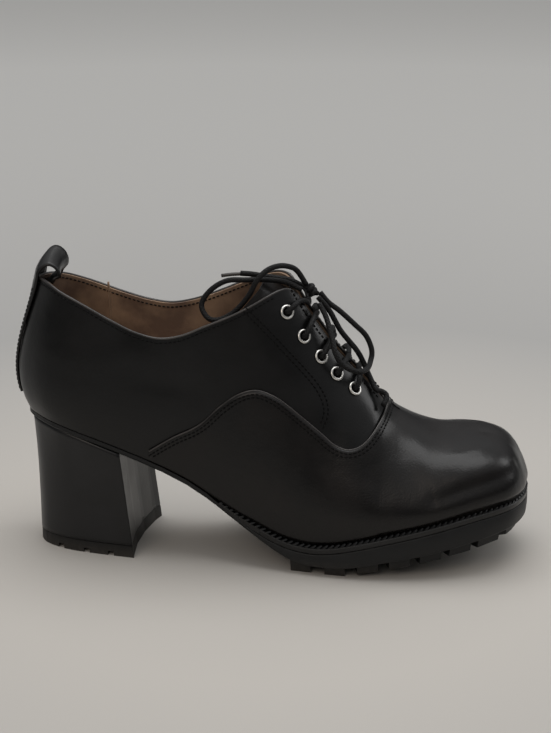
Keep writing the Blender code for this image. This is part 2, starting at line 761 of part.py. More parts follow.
def lace_tube(name, route, count, collection, finish):
    """A solid round lace along a smooth route, as a mesh that can be joined to others."""
    path = smooth_route(route, count)
    steps = np.gradient(path, axis=0)
    spoke = Vector(steps[0]).orthogonal().normalized()
    rings = []
    for place, step in zip(path, steps):
        axis = Vector(step).normalized()
        spoke = (spoke - axis * spoke.dot(axis)).normalized()
        other = axis.cross(spoke)
        ring = []
        for i in range(LACE_SIDES):
            angle = 2 * math.pi * i / LACE_SIDES
            turned_spoke = spoke * math.cos(angle) + other * math.sin(angle)
            ring.append(tuple(Vector(place) + turned_spoke * LACE_R))
        rings.append(ring)
    return loft(name, rings, collection, finish, False)


def crossing_route(side, row):
    """A lace strand from an eyelet over the facing, into the throat beside the next row."""
    x, next_x = EYELET_XS[row], EYELET_XS[row + 1]
    arch = CROSSING_ARCH[row]
    steps = (
        (side, 0.0, EYELET_ACROSS, 0.3), (side, 0.01, EYELET_ACROSS - 0.3, 1.8),
        (side, 0.1, 11.6, 3.0), (side, 0.2, 9.0, 2.9), (side, 0.34, 5.6, 2.2),
        (side, 0.5, 0.0, arch), (-side, 0.58, 2.9, -0.65),
    )
    route = []
    for place, share, across, lift in steps:
        t = section_at(place, x + (next_x - x) * share)
        route.append(over_throat(place, t, across, lift))
    return route


def bar_route(x, bow_x, middle_lift):
    """A lace strand across the throat from one eyelet to the eyelet opposite."""
    steps = (
        (0.0, EYELET_ACROSS, 0.3), (0.02, EYELET_ACROSS - 0.3, 1.8),
        (0.2, 11.6, 3.0), (0.4, 9.0, 2.8), (0.7, 5.4, 2.1), (1.0, 0.0, middle_lift),
    )
    halves = []
    for side in (-1, 1):
        halves.append([
            over_throat(side, section_at(side, x + (bow_x - x) * share), across, lift)
            for share, across, lift in steps
        ])
    return halves[0] + halves[1][-2::-1]


def build_crossings(parts, cutters, finish):
    """The lace where it crosses the throat: three crosses and two bars."""
    for row in CROSSING_ARCH:
        cross = lace_tube(f"lace_cross_{row + 1}", crossing_route(-1, row), CROSS_RINGS, parts, finish)
        other = lace_tube("strand", crossing_route(1, row), CROSS_RINGS, cutters, None)
        combine(cross, other, "UNION")
    lace_tube("lace_top_bar", bar_route(EYELET_XS[0], TOP_BAR_X, TOP_BAR_LIFT), BAR_RINGS, parts, finish)
    lace_tube("lace_low_bar", bar_route(EYELET_XS[-1], LOW_BAR_X, LOW_BAR_LIFT), BAR_RINGS, parts, finish)


def cord(name, route, radius, spacing, collection, finish):
    """A length of lace as a tube with closed ends along a smooth route."""
    length = sum(math.dist(a, b) for a, b in zip(route, route[1:]))
    points = to_frame(smooth_route(route, max(3, round(length / spacing))))
    curve = bpy.data.curves.new(name, "CURVE")
    curve.dimensions = "3D"
    curve.bevel_depth = radius * MM
    curve.bevel_resolution = 2
    curve.use_fill_caps = True
    spline = curve.splines.new("POLY")
    spline.points.add(len(points) - 1)
    for spot, place in zip(spline.points, points):
        spot.co = (*place, 1.0)
    return add_object(name, curve, collection, finish)


def build_bow(parts, finish):
    """The knot, two loops and two ends of the lace, each a cord of its own."""
    knot_ends = [np.array(KNOT_CENTRE) + np.array(KNOT_AXIS) * KNOT_HALF_LENGTH * k for k in (-1, 0, 1)]
    cord("lace_knot", knot_ends, KNOT_R, KNOT_HALF_LENGTH, parts, finish)
    cord("lace_loop_back", LOOP_BACK, LACE_R, 6.0, parts, finish)
    cord("lace_loop_front", LOOP_FRONT, LACE_R, 6.0, parts, finish)
    cord("lace_end_back", END_BACK, LACE_R, 6.0, parts, finish)
    cord("lace_end_front", END_FRONT, LACE_R, 4.5, parts, finish)
    cord("lace_tip_back", TIP_BACK, TIP_R, 4.0, parts, finish)


def on_surface_at(side, t, z, lift):
    """A point of the last's surface on section t at height z."""
    return skin(side, t, turn_where(side, t, lambda point: point[2] > z), lift)


def counter_point(z, across, lift):
    """A point at the back of the upper at height z, across millimetres from its middle."""
    side = -1 if across < 0 else 1
    low, high = LAST_END - 3.0, LAST_END
    for _ in range(30):
        middle = (low + high) / 2
        wide = abs(on_surface_at(side, middle, z, 0.0)[1])
        low, high = (middle, high) if wide > abs(across) else (low, middle)
    return on_surface_at(side, (low + high) / 2, z, lift)


def build_backstay(parts, finish):
    """The narrow strip up the back, folded over into a pull loop and fixed inside."""
    shares = np.linspace(-1.0, 1.0, 5)
    rows = []
    for z in STRAP_OUTER_ZS:
        half = STRAP_LOW_HALF + STRAP_SPREAD * (z - STRAP_OUTER_ZS[0])
        rows.append([counter_point(z, half * share, GAP + 0.15) for share in shares])
    for row in PULL_LOOP:
        rows.append([
            (row.x + row.wrap * (LOOP_HALF * share) ** 2 / (2 * HEEL_ROUND_R),
             LOOP_HALF * share, row.z + LOOP_TILT * row.lean * LOOP_HALF * share)
            for share in shares
        ])
    for z in STRAP_INNER_ZS:
        rows.append([counter_point(z, LOOP_HALF * share * 0.85, -(WALL + STRAP_INNER_GAP)) for share in shares])
    strip = shell("backstay", [rows], STRAP_THICK, parts, finish, outward=True)
    if sum(p.normal.x for p in strip.data.polygons[:12]) > 0:
        strip.data.flip_normals()
    return strip


def build_outsole(parts, cutters, finish):
    """The rubber sole: heel seat, waist and forefoot in one, with its lugs."""

    def edge_top(x):
        if x < WELT_START_X - 1.0:
            return feather_z(x) - GAP - 0.05
        return feather_z(x) - welt_height(x) - 2 * GAP

    rings = [
        sole_ring(lambda x: sole_reach(x) - 0.8, sole_bottom_z),
        sole_ring(sole_reach, lambda x: sole_bottom_z(x) + 0.8),
        sole_ring(sole_reach, edge_top),
        sole_ring(lambda x: -STEP_INSET, edge_top),
        sole_ring(lambda x: -STEP_INSET, feather_z),
    ]
    outsole = ring_solid("outsole", rings, parts, finish)
    lugs = [lug for side in (-1, 1) for lug in side_lugs(side, cutters)]
    lugs += centre_lugs(cutters)
    lugs.append(toe_lug(cutters))
    combine(outsole, join_meshes("lugs", lugs, cutters), "UNION")
    return outsole


def lug_block(name, plan_low, plan_high, collection):
    low = [(x, y, lug_bottom_z(x)) for x, y in plan_low]
    high = [(x, y, sole_bottom_z(x) + 1.6) for x, y in plan_high]
    return prism(name, low, high, collection)


def side_lugs(side, collection):
    """A row of lugs along one edge of the forefoot, each leaning back towards the middle."""
    made = []
    for start in LUG_STARTS:
        ends = [section_at(side, start + LUG_LENGTH), section_at(side, start)]
        outer_low = [rim_point(side, t, sole_reach(start) - 3.6) for t in ends]
        outer_high = [rim_point(side, t, sole_reach(start) - 2.0) for t in ends]
        inner = [rim_point(side, t, sole_reach(start) - LUG_REACH) + np.array([-3.0, 0.0]) for t in ends]
        low = [outer_low[0], outer_low[1], inner[1], inner[0]]
        high = [outer_high[0], outer_high[1], inner[1], inner[0]]
        made.append(lug_block("lug", low, high, collection))
    return made


def centre_lugs(collection):
    """Arrow-shaped lugs down the middle of the forefoot."""
    made = []
    for start in LUG_STARTS[:-1]:
        middle_y = (feather_point(-1, section_at(-1, start))[1] + feather_point(1, section_at(1, start))[1]) / 2
        reach = 13.0 if start < 205 else 9.0
        plan = [
            (start + 9.0, middle_y), (start + 1.0, middle_y - reach),
            (start - 4.5, middle_y - reach), (start + 3.0, middle_y),
            (start - 4.5, middle_y + reach), (start + 1.0, middle_y + reach),
        ]
        made.append(lug_block("centre_lug", plan, plan, collection))
    return made


def toe_lug(collection):
    """A curved bar under the toe tip."""
    sections = np.linspace(0.0, 1.9, 5)
    outer = [rim_point(-1, t, -1.4) for t in sections[::-1]] + [rim_point(1, t, -1.4) for t in sections[1:]]
    inner = [p - np.array([5.0, 0.0]) for p in outer[::-1]]
    plan = outer + inner
    return lug_block("toe_lug", plan, plan, collection)


def build_welt(parts, finish):
    """The raised strip round the forefoot, between the sole and the upper."""
    sections = np.concatenate([
        np.linspace(0.0, 4.0, 11),
        np.linspace(4.0, section_at(-1, WELT_START_X), 20)[1:],
    ])
    medial_end = section_at(1, WELT_START_X)
    medial = np.concatenate([np.linspace(0.0, 4.0, 11), np.linspace(4.0, medial_end, 20)[1:]])
    path = [(-1, t) for t in sections[::-1]] + [(1, t) for t in medial[1:]]
    rows = []
    for side, t in path:
        x = feather_point(side, t)[0]
        outer, inner = rim_point(side, t, sole_reach(x)), rim_point(side, t, GAP - STEP_INSET)
        top = [feather_z(p[0]) - GAP for p in (outer, inner)]
        low = [feather_z(p[0]) - GAP - welt_height(p[0]) for p in (outer, inner)]
        rows.append([
            (*outer, low[0]), (*outer, top[0]), (*inner, top[1]), (*inner, low[1]), (*outer, low[0]),
        ])
    points = [p for row in rows for p in row]
    faces = grid_faces(len(rows), 5) + [(0, 1, 2, 3)]
    last = (len(rows) - 1) * 5
    faces.append((last, last + 1, last + 2, last + 3))
    return add_object("welt", mesh_from("welt", points, faces), parts, finish)


def heel_ring(share):
    """A closed ring of the heel: share is 0 at the top piece and 1 at the seat."""
    blend = share**3.2
    places = np.linspace(0.0, len(HEEL_PLAN) - 1.0, 17)
    lateral, medial = [], []
    for place in places:
        seat_x, seat_y, foot_x, foot_y = (curve(place) for curve in HEEL_CURVES.values())
        x = foot_x + (seat_x - foot_x) * blend
        y = foot_y + (seat_y - foot_y) * blend
        low, high = TOP_PIECE_THICK + GAP, sole_bottom_z(x) - GAP
        z = low + (high - low) * share
        lateral.append((x, -y, z))
        medial.append((x, y, z))
    front = ((lateral[0][0] + medial[0][0]) / 2 + 0.5, 0.0, lateral[0][2])
    return [front] + lateral + medial[-2::-1]


def breast_cutter(collection):
    """A large leaning cylinder that hollows the front of the heel."""
    lean = (BREAST_FOOT_X - BREAST_SEAT_X) / BREAST_SEAT_Z
    rings = []
    for z in (-10.0, BREAST_SEAT_Z + 30.0):
        face_x = BREAST_FOOT_X - lean * z
        ring = []
        for i in range(BREAST_SIDES):
            angle = 2 * math.pi * i / BREAST_SIDES
            ring.append((
                face_x + BREAST_HOLLOW_R * (1 + math.cos(angle)),
                BREAST_HOLLOW_R * (math.sin(angle) - math.sin(BREAST_TURN)),
                z,
            ))
        rings.append(ring)
    return prism("breast", rings[0], rings[1], collection)


def build_heel(parts, cutters, finish):
    """The covered heel block between the top piece and the sole."""
    rings = [heel_ring(share) for share in (0.0, 0.2, 0.4, 0.6, 0.75, 0.87, 1.0)]
    heel = ring_solid("heel", rings, parts, finish)
    combine(heel, breast_cutter(cutters), "DIFFERENCE")
    return heel


def build_top_piece(parts, cutters, finish):
    """The grooved rubber piece under the heel."""
    foot = heel_ring(0.0)
    rings = [[(x, y, z) for x, y, _ in foot] for z in (0.0, TOP_PIECE_THICK)]
    top_piece = ring_solid("heel_top_piece", rings, parts, finish)
    combine(top_piece, breast_cutter(cutters), "DIFFERENCE")
    grooves = []
    for x in HEEL_GROOVES_X:
        plan = [(x, -40.0), (x + GROOVE_WIDTH, -40.0), (x + GROOVE_WIDTH, 40.0), (x, 40.0)]
        low = [(px, py, -5.0) for px, py in plan]
        high = [(px, py, GROOVE_DEPTH) for px, py in plan]
        grooves.append(prism("groove", low, high, cutters))
    combine(top_piece, join_meshes("grooves", grooves, cutters), "DIFFERENCE")
    return top_piece


def build_insole(parts, finish):
    """The insole inside the upper, on top of the sole."""
    inset = -(WALL + 0.6)
    rings = [
        sole_ring(lambda x: inset, lambda x: feather_z(x) + GAP),
        sole_ring(lambda x: inset, lambda x: feather_z(x) + GAP + INSOLE_THICK),
    ]
    return ring_solid("insole", rings, parts, finish)


def main():
    for item in list(bpy.data.objects):
        bpy.data.objects.remove(item)
    parts = new_collection(SHOE)
    cutters = new_collection("cutters")
    black = (0.012, 0.012, 0.013)
    build_upper(parts, cutters, material("quarter_leather", black, 0.35))
    build_vamp(parts, material("vamp_leather", (0.016, 0.015, 0.014), 0.32))
    build_tongue(parts, material("tongue_leather", black, 0.45))
    build_backstay(parts, material("backstay_leather", black, 0.4))
    build_outsole(parts, cutters, material("sole_rubber", (0.015, 0.015, 0.016), 0.55))
    build_welt(parts, material("welt_rubber", (0.02, 0.02, 0.021), 0.5))
    build_heel(parts, cutters, material("heel_cover", (0.014, 0.014, 0.015), 0.4))
    build_top_piece(parts, cutters, material("top_piece_rubber", (0.016, 0.016, 0.016), 0.6))
    build_insole(parts, material("brown_lining", (0.11, 0.07, 0.045), 0.6))
    build_eyelets(parts, material("eyelet_nickel", (0.6, 0.58, 0.55), 0.25, 1.0))
    lace = material("lace_cotton", (0.01, 0.01, 0.011), 0.7)
    build_crossings(parts, cutters, lace)
    build_bow(parts, lace)


main()
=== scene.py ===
"""Looks of the heeled oxford shoe: fine leather, seams, laces, finishes, light and camera.

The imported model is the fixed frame. Leather that shows is built again, finer, from the
same last and sizes as the part; the sole, welt, heel and insole keep their solids.
The toe points to +X, the outer side is -Y and +Z is up.
"""

import bisect
import logging
import math
from collections import namedtuple
from collections.abc import Callable, Sequence
from dataclasses import dataclass, field
from enum import Enum, IntEnum
from typing import Any

import bmesh
import bpy
import numpy as np
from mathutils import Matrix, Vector

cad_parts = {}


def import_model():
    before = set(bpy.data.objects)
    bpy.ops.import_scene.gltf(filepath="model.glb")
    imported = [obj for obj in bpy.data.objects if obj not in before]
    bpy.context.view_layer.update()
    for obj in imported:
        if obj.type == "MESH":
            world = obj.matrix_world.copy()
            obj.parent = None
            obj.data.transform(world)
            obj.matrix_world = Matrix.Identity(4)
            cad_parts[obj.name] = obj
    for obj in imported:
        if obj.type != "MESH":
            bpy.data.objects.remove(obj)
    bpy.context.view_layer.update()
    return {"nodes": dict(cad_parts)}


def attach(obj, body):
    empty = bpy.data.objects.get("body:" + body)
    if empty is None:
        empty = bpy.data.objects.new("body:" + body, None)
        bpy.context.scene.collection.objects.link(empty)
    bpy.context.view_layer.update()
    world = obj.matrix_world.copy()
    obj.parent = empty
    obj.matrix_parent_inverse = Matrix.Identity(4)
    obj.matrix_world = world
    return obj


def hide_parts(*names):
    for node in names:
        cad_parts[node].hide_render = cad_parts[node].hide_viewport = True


log = logging.getLogger("heeled_oxford")

MM = 0.001
BODY = "root"

# The frame's origin in the last's own axes, in millimetres
ORIGIN = np.array([124.6, 3.4, 0.0])
INSIDE_POINT = (100.0, 0.0, 60.0)

Point = Sequence[float]
Route = Sequence[Point]

Station = namedtuple("Station", "ridge_x ridge_y ridge_z lat_x lat_y med_x med_y square puff")

# The last's sections from the toe tip to the back of the heel, as in the part
LAST_SECTIONS = (
    Station(226.0, 7.0, 58.0, 247.0, 5.0, 247.0, 5.0, 2.50, 1.4),
    Station(224.5, 7.0, 58.2, 245.2, -9.0, 245.4, 18.5, 2.80, 1.4),
    Station(221.5, 7.0, 58.5, 240.0, -19.8, 240.4, 28.6, 3.30, 1.4),
    Station(217.0, 7.0, 58.6, 231.5, -26.6, 231.5, 34.8, 3.70, 1.4),
    Station(211.5, 6.8, 58.4, 220.5, -31.2, 219.0, 39.3, 3.50, 1.5),
    Station(205.0, 6.4, 59.4, 209.0, -34.2, 207.0, 42.0, 2.80, 1.7),
    Station(198.0, 6.0, 62.4, 199.5, -35.7, 197.5, 43.4, 2.35, 1.9),
    Station(190.0, 5.0, 66.8, 190.0, -36.7, 188.5, 44.0, 2.10, 2.0),
    Station(182.0, 3.5, 72.6, 181.0, -37.2, 180.0, 44.0, 2.00, 2.2),
    Station(175.0, 2.2, 82.8, 174.0, -37.2, 173.5, 43.4, 1.90, 2.3),
    Station(165.5, 1.0, 93.4, 165.0, -36.8, 165.0, 42.6, 1.85, 2.3),
    Station(157.0, 0.3, 103.2, 156.5, -35.8, 157.0, 41.2, 1.80, 2.2),
    Station(149.5, 0.0, 113.6, 149.0, -34.8, 149.5, 39.2, 1.80, 2.0),
    Station(141.4, 0.0, 125.6, 141.0, -33.4, 141.5, 36.4, 1.80, 1.8),
    Station(133.4, 0.0, 139.6, 133.0, -32.0, 133.0, 33.4, 1.82, 1.6),
    Station(125.0, 0.0, 152.0, 124.0, -30.2, 124.0, 30.4, 1.90, 1.5),
    Station(115.0, 0.0, 161.5, 114.0, -28.6, 114.0, 27.6, 1.95, 1.3),
    Station(103.0, 0.0, 167.0, 102.5, -26.8, 102.5, 25.0, 2.00, 1.0),
    Station(90.0, 0.0, 168.5, 90.0, -25.6, 90.0, 23.8, 2.10, 0.8),
    Station(75.0, 0.0, 168.5, 75.0, -25.8, 75.0, 24.4, 2.20, 1.0),
    Station(60.0, 0.0, 168.5, 60.0, -26.6, 60.0, 25.8, 2.30, 1.5),
    Station(50.0, 0.0, 169.0, 46.0, -26.8, 46.0, 26.6, 2.35, 2.2),
    Station(46.0, 0.0, 169.5, 33.0, -25.8, 33.0, 25.8, 2.40, 3.0),
    Station(45.0, 0.0, 170.0, 21.0, -21.6, 21.0, 21.6, 2.40, 3.8),
    Station(45.0, 0.0, 170.0, 12.0, -14.0, 12.0, 14.0, 2.40, 4.3),
    Station(45.0, 0.0, 170.0, 7.1, -7.2, 7.1, 7.2, 2.40, 4.5),
    Station(45.0, 0.0, 170.0, 5.5, 0.0, 5.5, 0.0, 2.40, 4.5),
)
LAST_END = len(LAST_SECTIONS) - 1.0

HeightRow = namedtuple("HeightRow", "x z")

# Height of the sole's lower edge, along x
SOLE_EDGE = (
    HeightRow(4, 66.5), HeightRow(20, 64.6), HeightRow(35, 60.8), HeightRow(50, 55.6),
    HeightRow(63, 50.4), HeightRow(74, 45.5), HeightRow(84, 40.4), HeightRow(93, 34.9),
    HeightRow(102, 28.9), HeightRow(111, 22.7), HeightRow(121, 16.0), HeightRow(130, 10.4),
    HeightRow(138, 6.7), HeightRow(146, 5.0), HeightRow(156, 4.8), HeightRow(166, 5.6),
    HeightRow(180, 8.5), HeightRow(200, 12.4), HeightRow(213, 15.6), HeightRow(225, 18.6),
    HeightRow(236, 21.2), HeightRow(250, 23.6),
)

# Half of the heel's plan from the breast to the back: at its seat and at its foot
HeelRow = namedtuple("HeelRow", "seat_x seat_y foot_x foot_y")
HEEL_PLAN = (
    HeelRow(70.0, 25.6, 73.0, 28.9), HeelRow(58.0, 26.6, 61.0, 26.8),
    HeelRow(45.0, 26.6, 48.0, 24.6), HeelRow(34.0, 25.0, 36.0, 22.2),
    HeelRow(23.0, 21.0, 25.0, 19.0), HeelRow(13.8, 13.6, 15.2, 13.2),
    HeelRow(8.9, 7.0, 10.6, 6.8), HeelRow(7.3, 0.0, 9.2, 0.0),
)

# Height of the line where the upper meets the sole, along x
FEATHER_LINE = (
    HeightRow(4, 69.5), HeightRow(20, 67.6), HeightRow(35, 63.8), HeightRow(50, 58.6),
    HeightRow(63, 53.4), HeightRow(74, 48.5), HeightRow(84, 43.5), HeightRow(93, 38.1),
    HeightRow(102, 32.3), HeightRow(111, 26.8), HeightRow(121, 21.7), HeightRow(130, 17.7),
    HeightRow(138, 15.4), HeightRow(146, 14.5), HeightRow(156, 15.2), HeightRow(166, 17.4),
    HeightRow(180, 21.0), HeightRow(200, 25.9), HeightRow(213, 29.3), HeightRow(225, 32.2),
    HeightRow(236, 34.0), HeightRow(250, 35.3),
)

# Height of the top edge round the ankle on each side, along x
TopRow = namedtuple("TopRow", "x lateral medial")
TOPLINE = (
    TopRow(8, 134.0, 134.0), TopRow(18, 134.4, 132.2), TopRow(27, 131.0, 128.7),
    TopRow(36, 127.2, 125.2), TopRow(50, 119.9, 120.4), TopRow(63, 113.6, 117.3),
    TopRow(74, 110.8, 116.5), TopRow(84, 112.0, 118.6), TopRow(96, 116.9, 123.2),
    TopRow(108, 122.0, 128.6), TopRow(118, 127.0, 133.0), TopRow(125, 130.8, 135.6),
    TopRow(130, 132.8, 136.6), TopRow(134, 132.8, 135.8), TopRow(138, 129.6, 131.6),
    TopRow(142, 124.6, 126.0),
)
THROAT_START_X = 125.0
THROAT_END_X = 181.0
THROAT_HALF_GAP = 4.6

# Height of the vamp's top edge, where it lies over the quarters, along x
VAMP_SEAM = (
    HeightRow(60, 50.5), HeightRow(64, 53.0), HeightRow(80, 63.0), HeightRow(94, 70.5),
    HeightRow(104, 80.0), HeightRow(113, 86.2), HeightRow(120, 88.0), HeightRow(129, 85.2),
    HeightRow(141, 76.4), HeightRow(150, 69.2), HeightRow(158, 62.8), HeightRow(165, 61.0),
    HeightRow(172, 64.0), HeightRow(177, 70.0), HeightRow(180.4, 75.5), HeightRow(183, 84.0),
)

# The stitched line of the eyelet facing on each side, seen from the side
FACING_SEAM = (
    HeightRow(114.7, 126.3), HeightRow(122.1, 119.3), HeightRow(129.1, 112.3),
    HeightRow(136.1, 104.7), HeightRow(143.2, 97.1), HeightRow(149.3, 89.9),
    HeightRow(153.1, 83.2), HeightRow(154.1, 76.7), HeightRow(151.8, 70.2),
)

# Soft creases and swellings of the leather on one side. The path is seen from the side, as
# x and height; depth is negative for a trough and positive for a ridge.
Crease = namedtuple("Crease", "side path half_width depth")
CREASES = (
    # The toe's flat top ends in a soft ridge
    Crease(-1, ((210.0, 55.5), (222.0, 57.0), (232.0, 57.6)), 1.6, 0.40),
    Crease(1, ((210.0, 55.5), (222.0, 57.0), (232.0, 57.6)), 1.6, 0.40),
    # The long trough above the welt, and the swelling under it
    Crease(-1, ((201.0, 37.5), (223.5, 45.5), (244.0, 50.0)), 3.0, -0.80),
    Crease(-1, ((199.0, 32.0), (223.0, 38.5), (243.0, 42.0)), 3.2, 0.45),
    Crease(1, ((200.0, 38.0), (222.0, 45.0), (243.0, 49.0)), 3.2, -0.60),
    # Bending creases behind the toes
    Crease(-1, ((203.0, 43.5), (204.5, 39.5), (206.0, 36.0)), 1.3, -0.22),
    Crease(-1, ((186.0, 63.0), (191.0, 54.0), (196.0, 45.0)), 4.5, -0.35),
    Crease(-1, ((194.0, 64.0), (199.0, 56.0), (203.0, 49.0)), 4.0, 0.25),
    Crease(-1, ((172.0, 55.0), (177.0, 46.0), (182.0, 38.0)), 5.0, -0.35),
    Crease(1, ((184.0, 65.0), (190.0, 55.0), (196.0, 44.0)), 4.0, -0.50),
    Crease(1, ((172.0, 58.0), (176.0, 49.0), (180.0, 40.0)), 4.5, -0.40),
    # Slack leather at the ankle, under the facing and round the counter
    Crease(-1, ((60.0, 92.0), (78.0, 89.0), (96.0, 84.0)), 6.0, -0.45),
    Crease(-1, ((40.0, 100.0), (55.0, 103.0), (70.0, 104.0)), 7.0, 0.35),
    Crease(1, ((58.0, 94.0), (78.0, 91.0), (96.0, 86.0)), 6.0, -0.50),
    Crease(-1, ((122.0, 100.0), (132.0, 93.0), (140.0, 84.0)), 4.0, -0.30),
    Crease(-1, ((14.0, 96.0), (27.0, 94.0), (40.0, 90.0)), 6.0, -0.30),
)


class Side(IntEnum):
    """The two sides of the shoe, by the sign of Y."""

    OUTER = -1
    INNER = 1


SIDES = (Side.OUTER, Side.INNER)


def curve_through(xs: Sequence[float], ys: Sequence[float]) -> Callable[[float], float]:
    """Make the smooth curve through rows of numbers, level beyond its ends.

    Args:
        xs: Rising places of the rows.
        ys: The value at each place.

    Returns:
        A function from a place to its value.
    """
    xs, ys = [float(x) for x in xs], [float(y) for y in ys]
    slopes = [float(k) for k in np.gradient(ys, xs)]

    def value(x: float) -> float:
        """Value of the curve at x.

        Args:
            x: Where to read the curve.

        Returns:
            The value there, held at the ends.
        """
        x = min(max(x, xs[0]), xs[-1])
        i = min(max(bisect.bisect_left(xs, x) - 1, 0), len(xs) - 2)
        h = xs[i + 1] - xs[i]
        u = (x - xs[i]) / h
        rise = (2 * u**3 - 3 * u**2 + 1) * ys[i] + (3 * u**2 - 2 * u**3) * ys[i + 1]
        return rise + h * ((u**3 - 2 * u**2 + u) * slopes[i] + (u**3 - u**2) * slopes[i + 1])

    return value


def curve_of(rows: Sequence[Any], name: str) -> Callable[[float], float]:
    """Smooth curve of one named column of a table whose first column is x."""
    return curve_through([row.x for row in rows], [getattr(row, name) for row in rows])


def to_frame(points: Any) -> np.ndarray:
    """Millimetres in the last's axes to metres in the part's frame."""
    return (np.asarray(points, float) - ORIGIN) * MM


@dataclass
class Last:
    """The wooden form that the leather is drawn over, with the seams drawn on it."""

    half_throat: float = THROAT_HALF_GAP
    columns: dict[str, Callable[[float], float]] = field(default_factory=dict)
    puff_top: float = 0.6

    def __post_init__(self) -> None:
        """Prepare the smooth curves of every table."""
        places = range(len(LAST_SECTIONS))
        for name in Station._fields:
            self.columns[name] = curve_through(places, [getattr(s, name) for s in LAST_SECTIONS])
        self.feather_z = curve_of(FEATHER_LINE, "z")
        self.sole_edge_z = curve_of(SOLE_EDGE, "z")
        self.vamp_seam_z = curve_of(VAMP_SEAM, "z")
        self.topline = {
            Side.OUTER: curve_of(TOPLINE, "lateral"), Side.INNER: curve_of(TOPLINE, "medial")}
        self.sole_reach = curve_through((8, 40, 75, 98, 122, 225, 247), (0, 0.4, 0.7, 1.1, 3, 3, 2.6))
        self.crease_lines = [self.crease_line(crease) for crease in CREASES]

    def crease_line(self, crease: Crease) -> np.ndarray:
        """The points of a crease on the leather, about a millimetre apart."""
        route = smooth_route([(x, 0.0, z) for x, z in crease.path], 30)
        return np.array([self.seen_from_side(crease.side, x, z)[0] for x, _, z in route])

    def foot(self, side: int, t: float) -> np.ndarray:
        """Plan place of the upper's lower edge on section t."""
        prefix = "lat" if side < 0 else "med"
        return np.array([self.columns[prefix + "_x"](t), self.columns[prefix + "_y"](t)])

    def point(self, side: int, t: float, turn: float) -> np.ndarray:
        """Find a point of the last's surface.

        Args:
            side: -1 for the outer side, 1 for the inner side.
            t: Section, from 0 at the toe tip to LAST_END at the heel.
            turn: From 0 at the welt to pi/2 at the ridge.

        Returns:
            The point in the last's axes.
        """
        foot_x, foot_y = self.foot(side, t)
        ridge_x, ridge_y = self.columns["ridge_x"](t), self.columns["ridge_y"](t)
        power = 2.0 / self.columns["square"](t)
        high, wide = math.sin(turn) ** power, max(0.0, math.cos(turn)) ** power
        reach = math.hypot(foot_x - ridge_x, foot_y - ridge_y)
        # The puff is a hump low on the side; 6.75 brings its peak to one
        place = min(1.0, high / self.puff_top)
        share = wide + self.columns["puff"](t) * 6.75 * place * (1 - place) ** 2 / reach
        low = self.feather_z(foot_x)
        return np.array([
            ridge_x + (foot_x - ridge_x) * share,
            ridge_y + (foot_y - ridge_y) * share,
            low + (self.columns["ridge_z"](t) - low) * high,
        ])

    def ridge_normal(self, t: float) -> np.ndarray:
        """Upward unit normal of the last along its ridge.

        Args:
            t: Section of the last, counted from the toe.

        Returns:
            The unit normal.
        """
        before, after = max(0.0, t - 0.02), min(LAST_END, t + 0.02)
        dx = self.columns["ridge_x"](before) - self.columns["ridge_x"](after)
        dz = self.columns["ridge_z"](before) - self.columns["ridge_z"](after)
        length = math.hypot(dx, dz)
        return np.array([-dz, 0.0, dx]) / length if length > 1e-6 else np.array([0.0, 0.0, 1.0])

    def normal(self, side: int, t: float, turn: float) -> np.ndarray:
        """Outward unit normal of the last's surface.

        Args:
            side: -1 for the outer side, 1 for the inner side.
            t: Section of the last, counted from the toe.
            turn: Angle up the section, from its lower edge to the ridge.

        Returns:
            The unit normal.
        """
        if turn > math.pi / 2 - 0.02:
            return self.ridge_normal(t)
        dt, da = 0.02, 0.01
        t0, t1 = max(0.0, t - dt), min(LAST_END, t + dt)
        a0, a1 = max(1e-4, turn - da), min(math.pi / 2 - 1e-4, turn + da)
        along = self.point(side, t1, turn) - self.point(side, t0, turn)
        if t < dt:
            along = np.array([0.0, float(side), 0.0])
        if t > LAST_END - dt:
            along = np.array([0.0, -float(side), 0.0])
        normal = np.cross(along, self.point(side, t, a1) - self.point(side, t, a0)) * side
        return normal / max(np.linalg.norm(normal), 1e-9)

    def skin(self, side: int, t: float, turn: float, lift: float) -> np.ndarray:
        """A point lifted outwards from the last's surface."""
        return self.point(side, t, turn) + lift * self.normal(side, t, turn)

    def section_at(self, side: int, x: float) -> float:
        """The section whose lower edge is at x on that side.

        Args:
            side: -1 for the outer side, 1 for the inner side.
            x: Place along the shoe.

        Returns:
            The section.
        """
        low, high = 0.0, LAST_END
        for _ in range(30):
            middle = (low + high) / 2
            low, high = (middle, high) if self.foot(side, middle)[0] > x else (low, middle)
        return (low + high) / 2

    def turn_where(self, side: int, t: float, reached: Callable[[np.ndarray], bool]) -> float:
        """The turn at which reached(point) becomes true on section t, or the ridge.

        Args:
            side: -1 for the outer side, 1 for the inner side.
            t: Section of the last, counted from the toe.
            reached: Test of a point, false below and true above.

        Returns:
            The angle up the section.
        """
        low, high = 0.0, math.pi / 2
        if not reached(self.point(side, t, high - 1e-6)):
            return high
        for _ in range(28):
            middle = (low + high) / 2
            low, high = (low, middle) if reached(self.point(side, t, middle)) else (middle, high)
        return (low + high) / 2

    def upper_top(self, side: int, t: float) -> float:
        """Where the upper ends on section t: the topline, the throat's edge or the ridge.

        Args:
            side: -1 for the outer side, 1 for the inner side.
            t: Section of the last, counted from the toe.

        Returns:
            The angle up the section.
        """
        side = Side.OUTER if t >= LAST_END else side
        if t < 7.0:
            return math.pi / 2

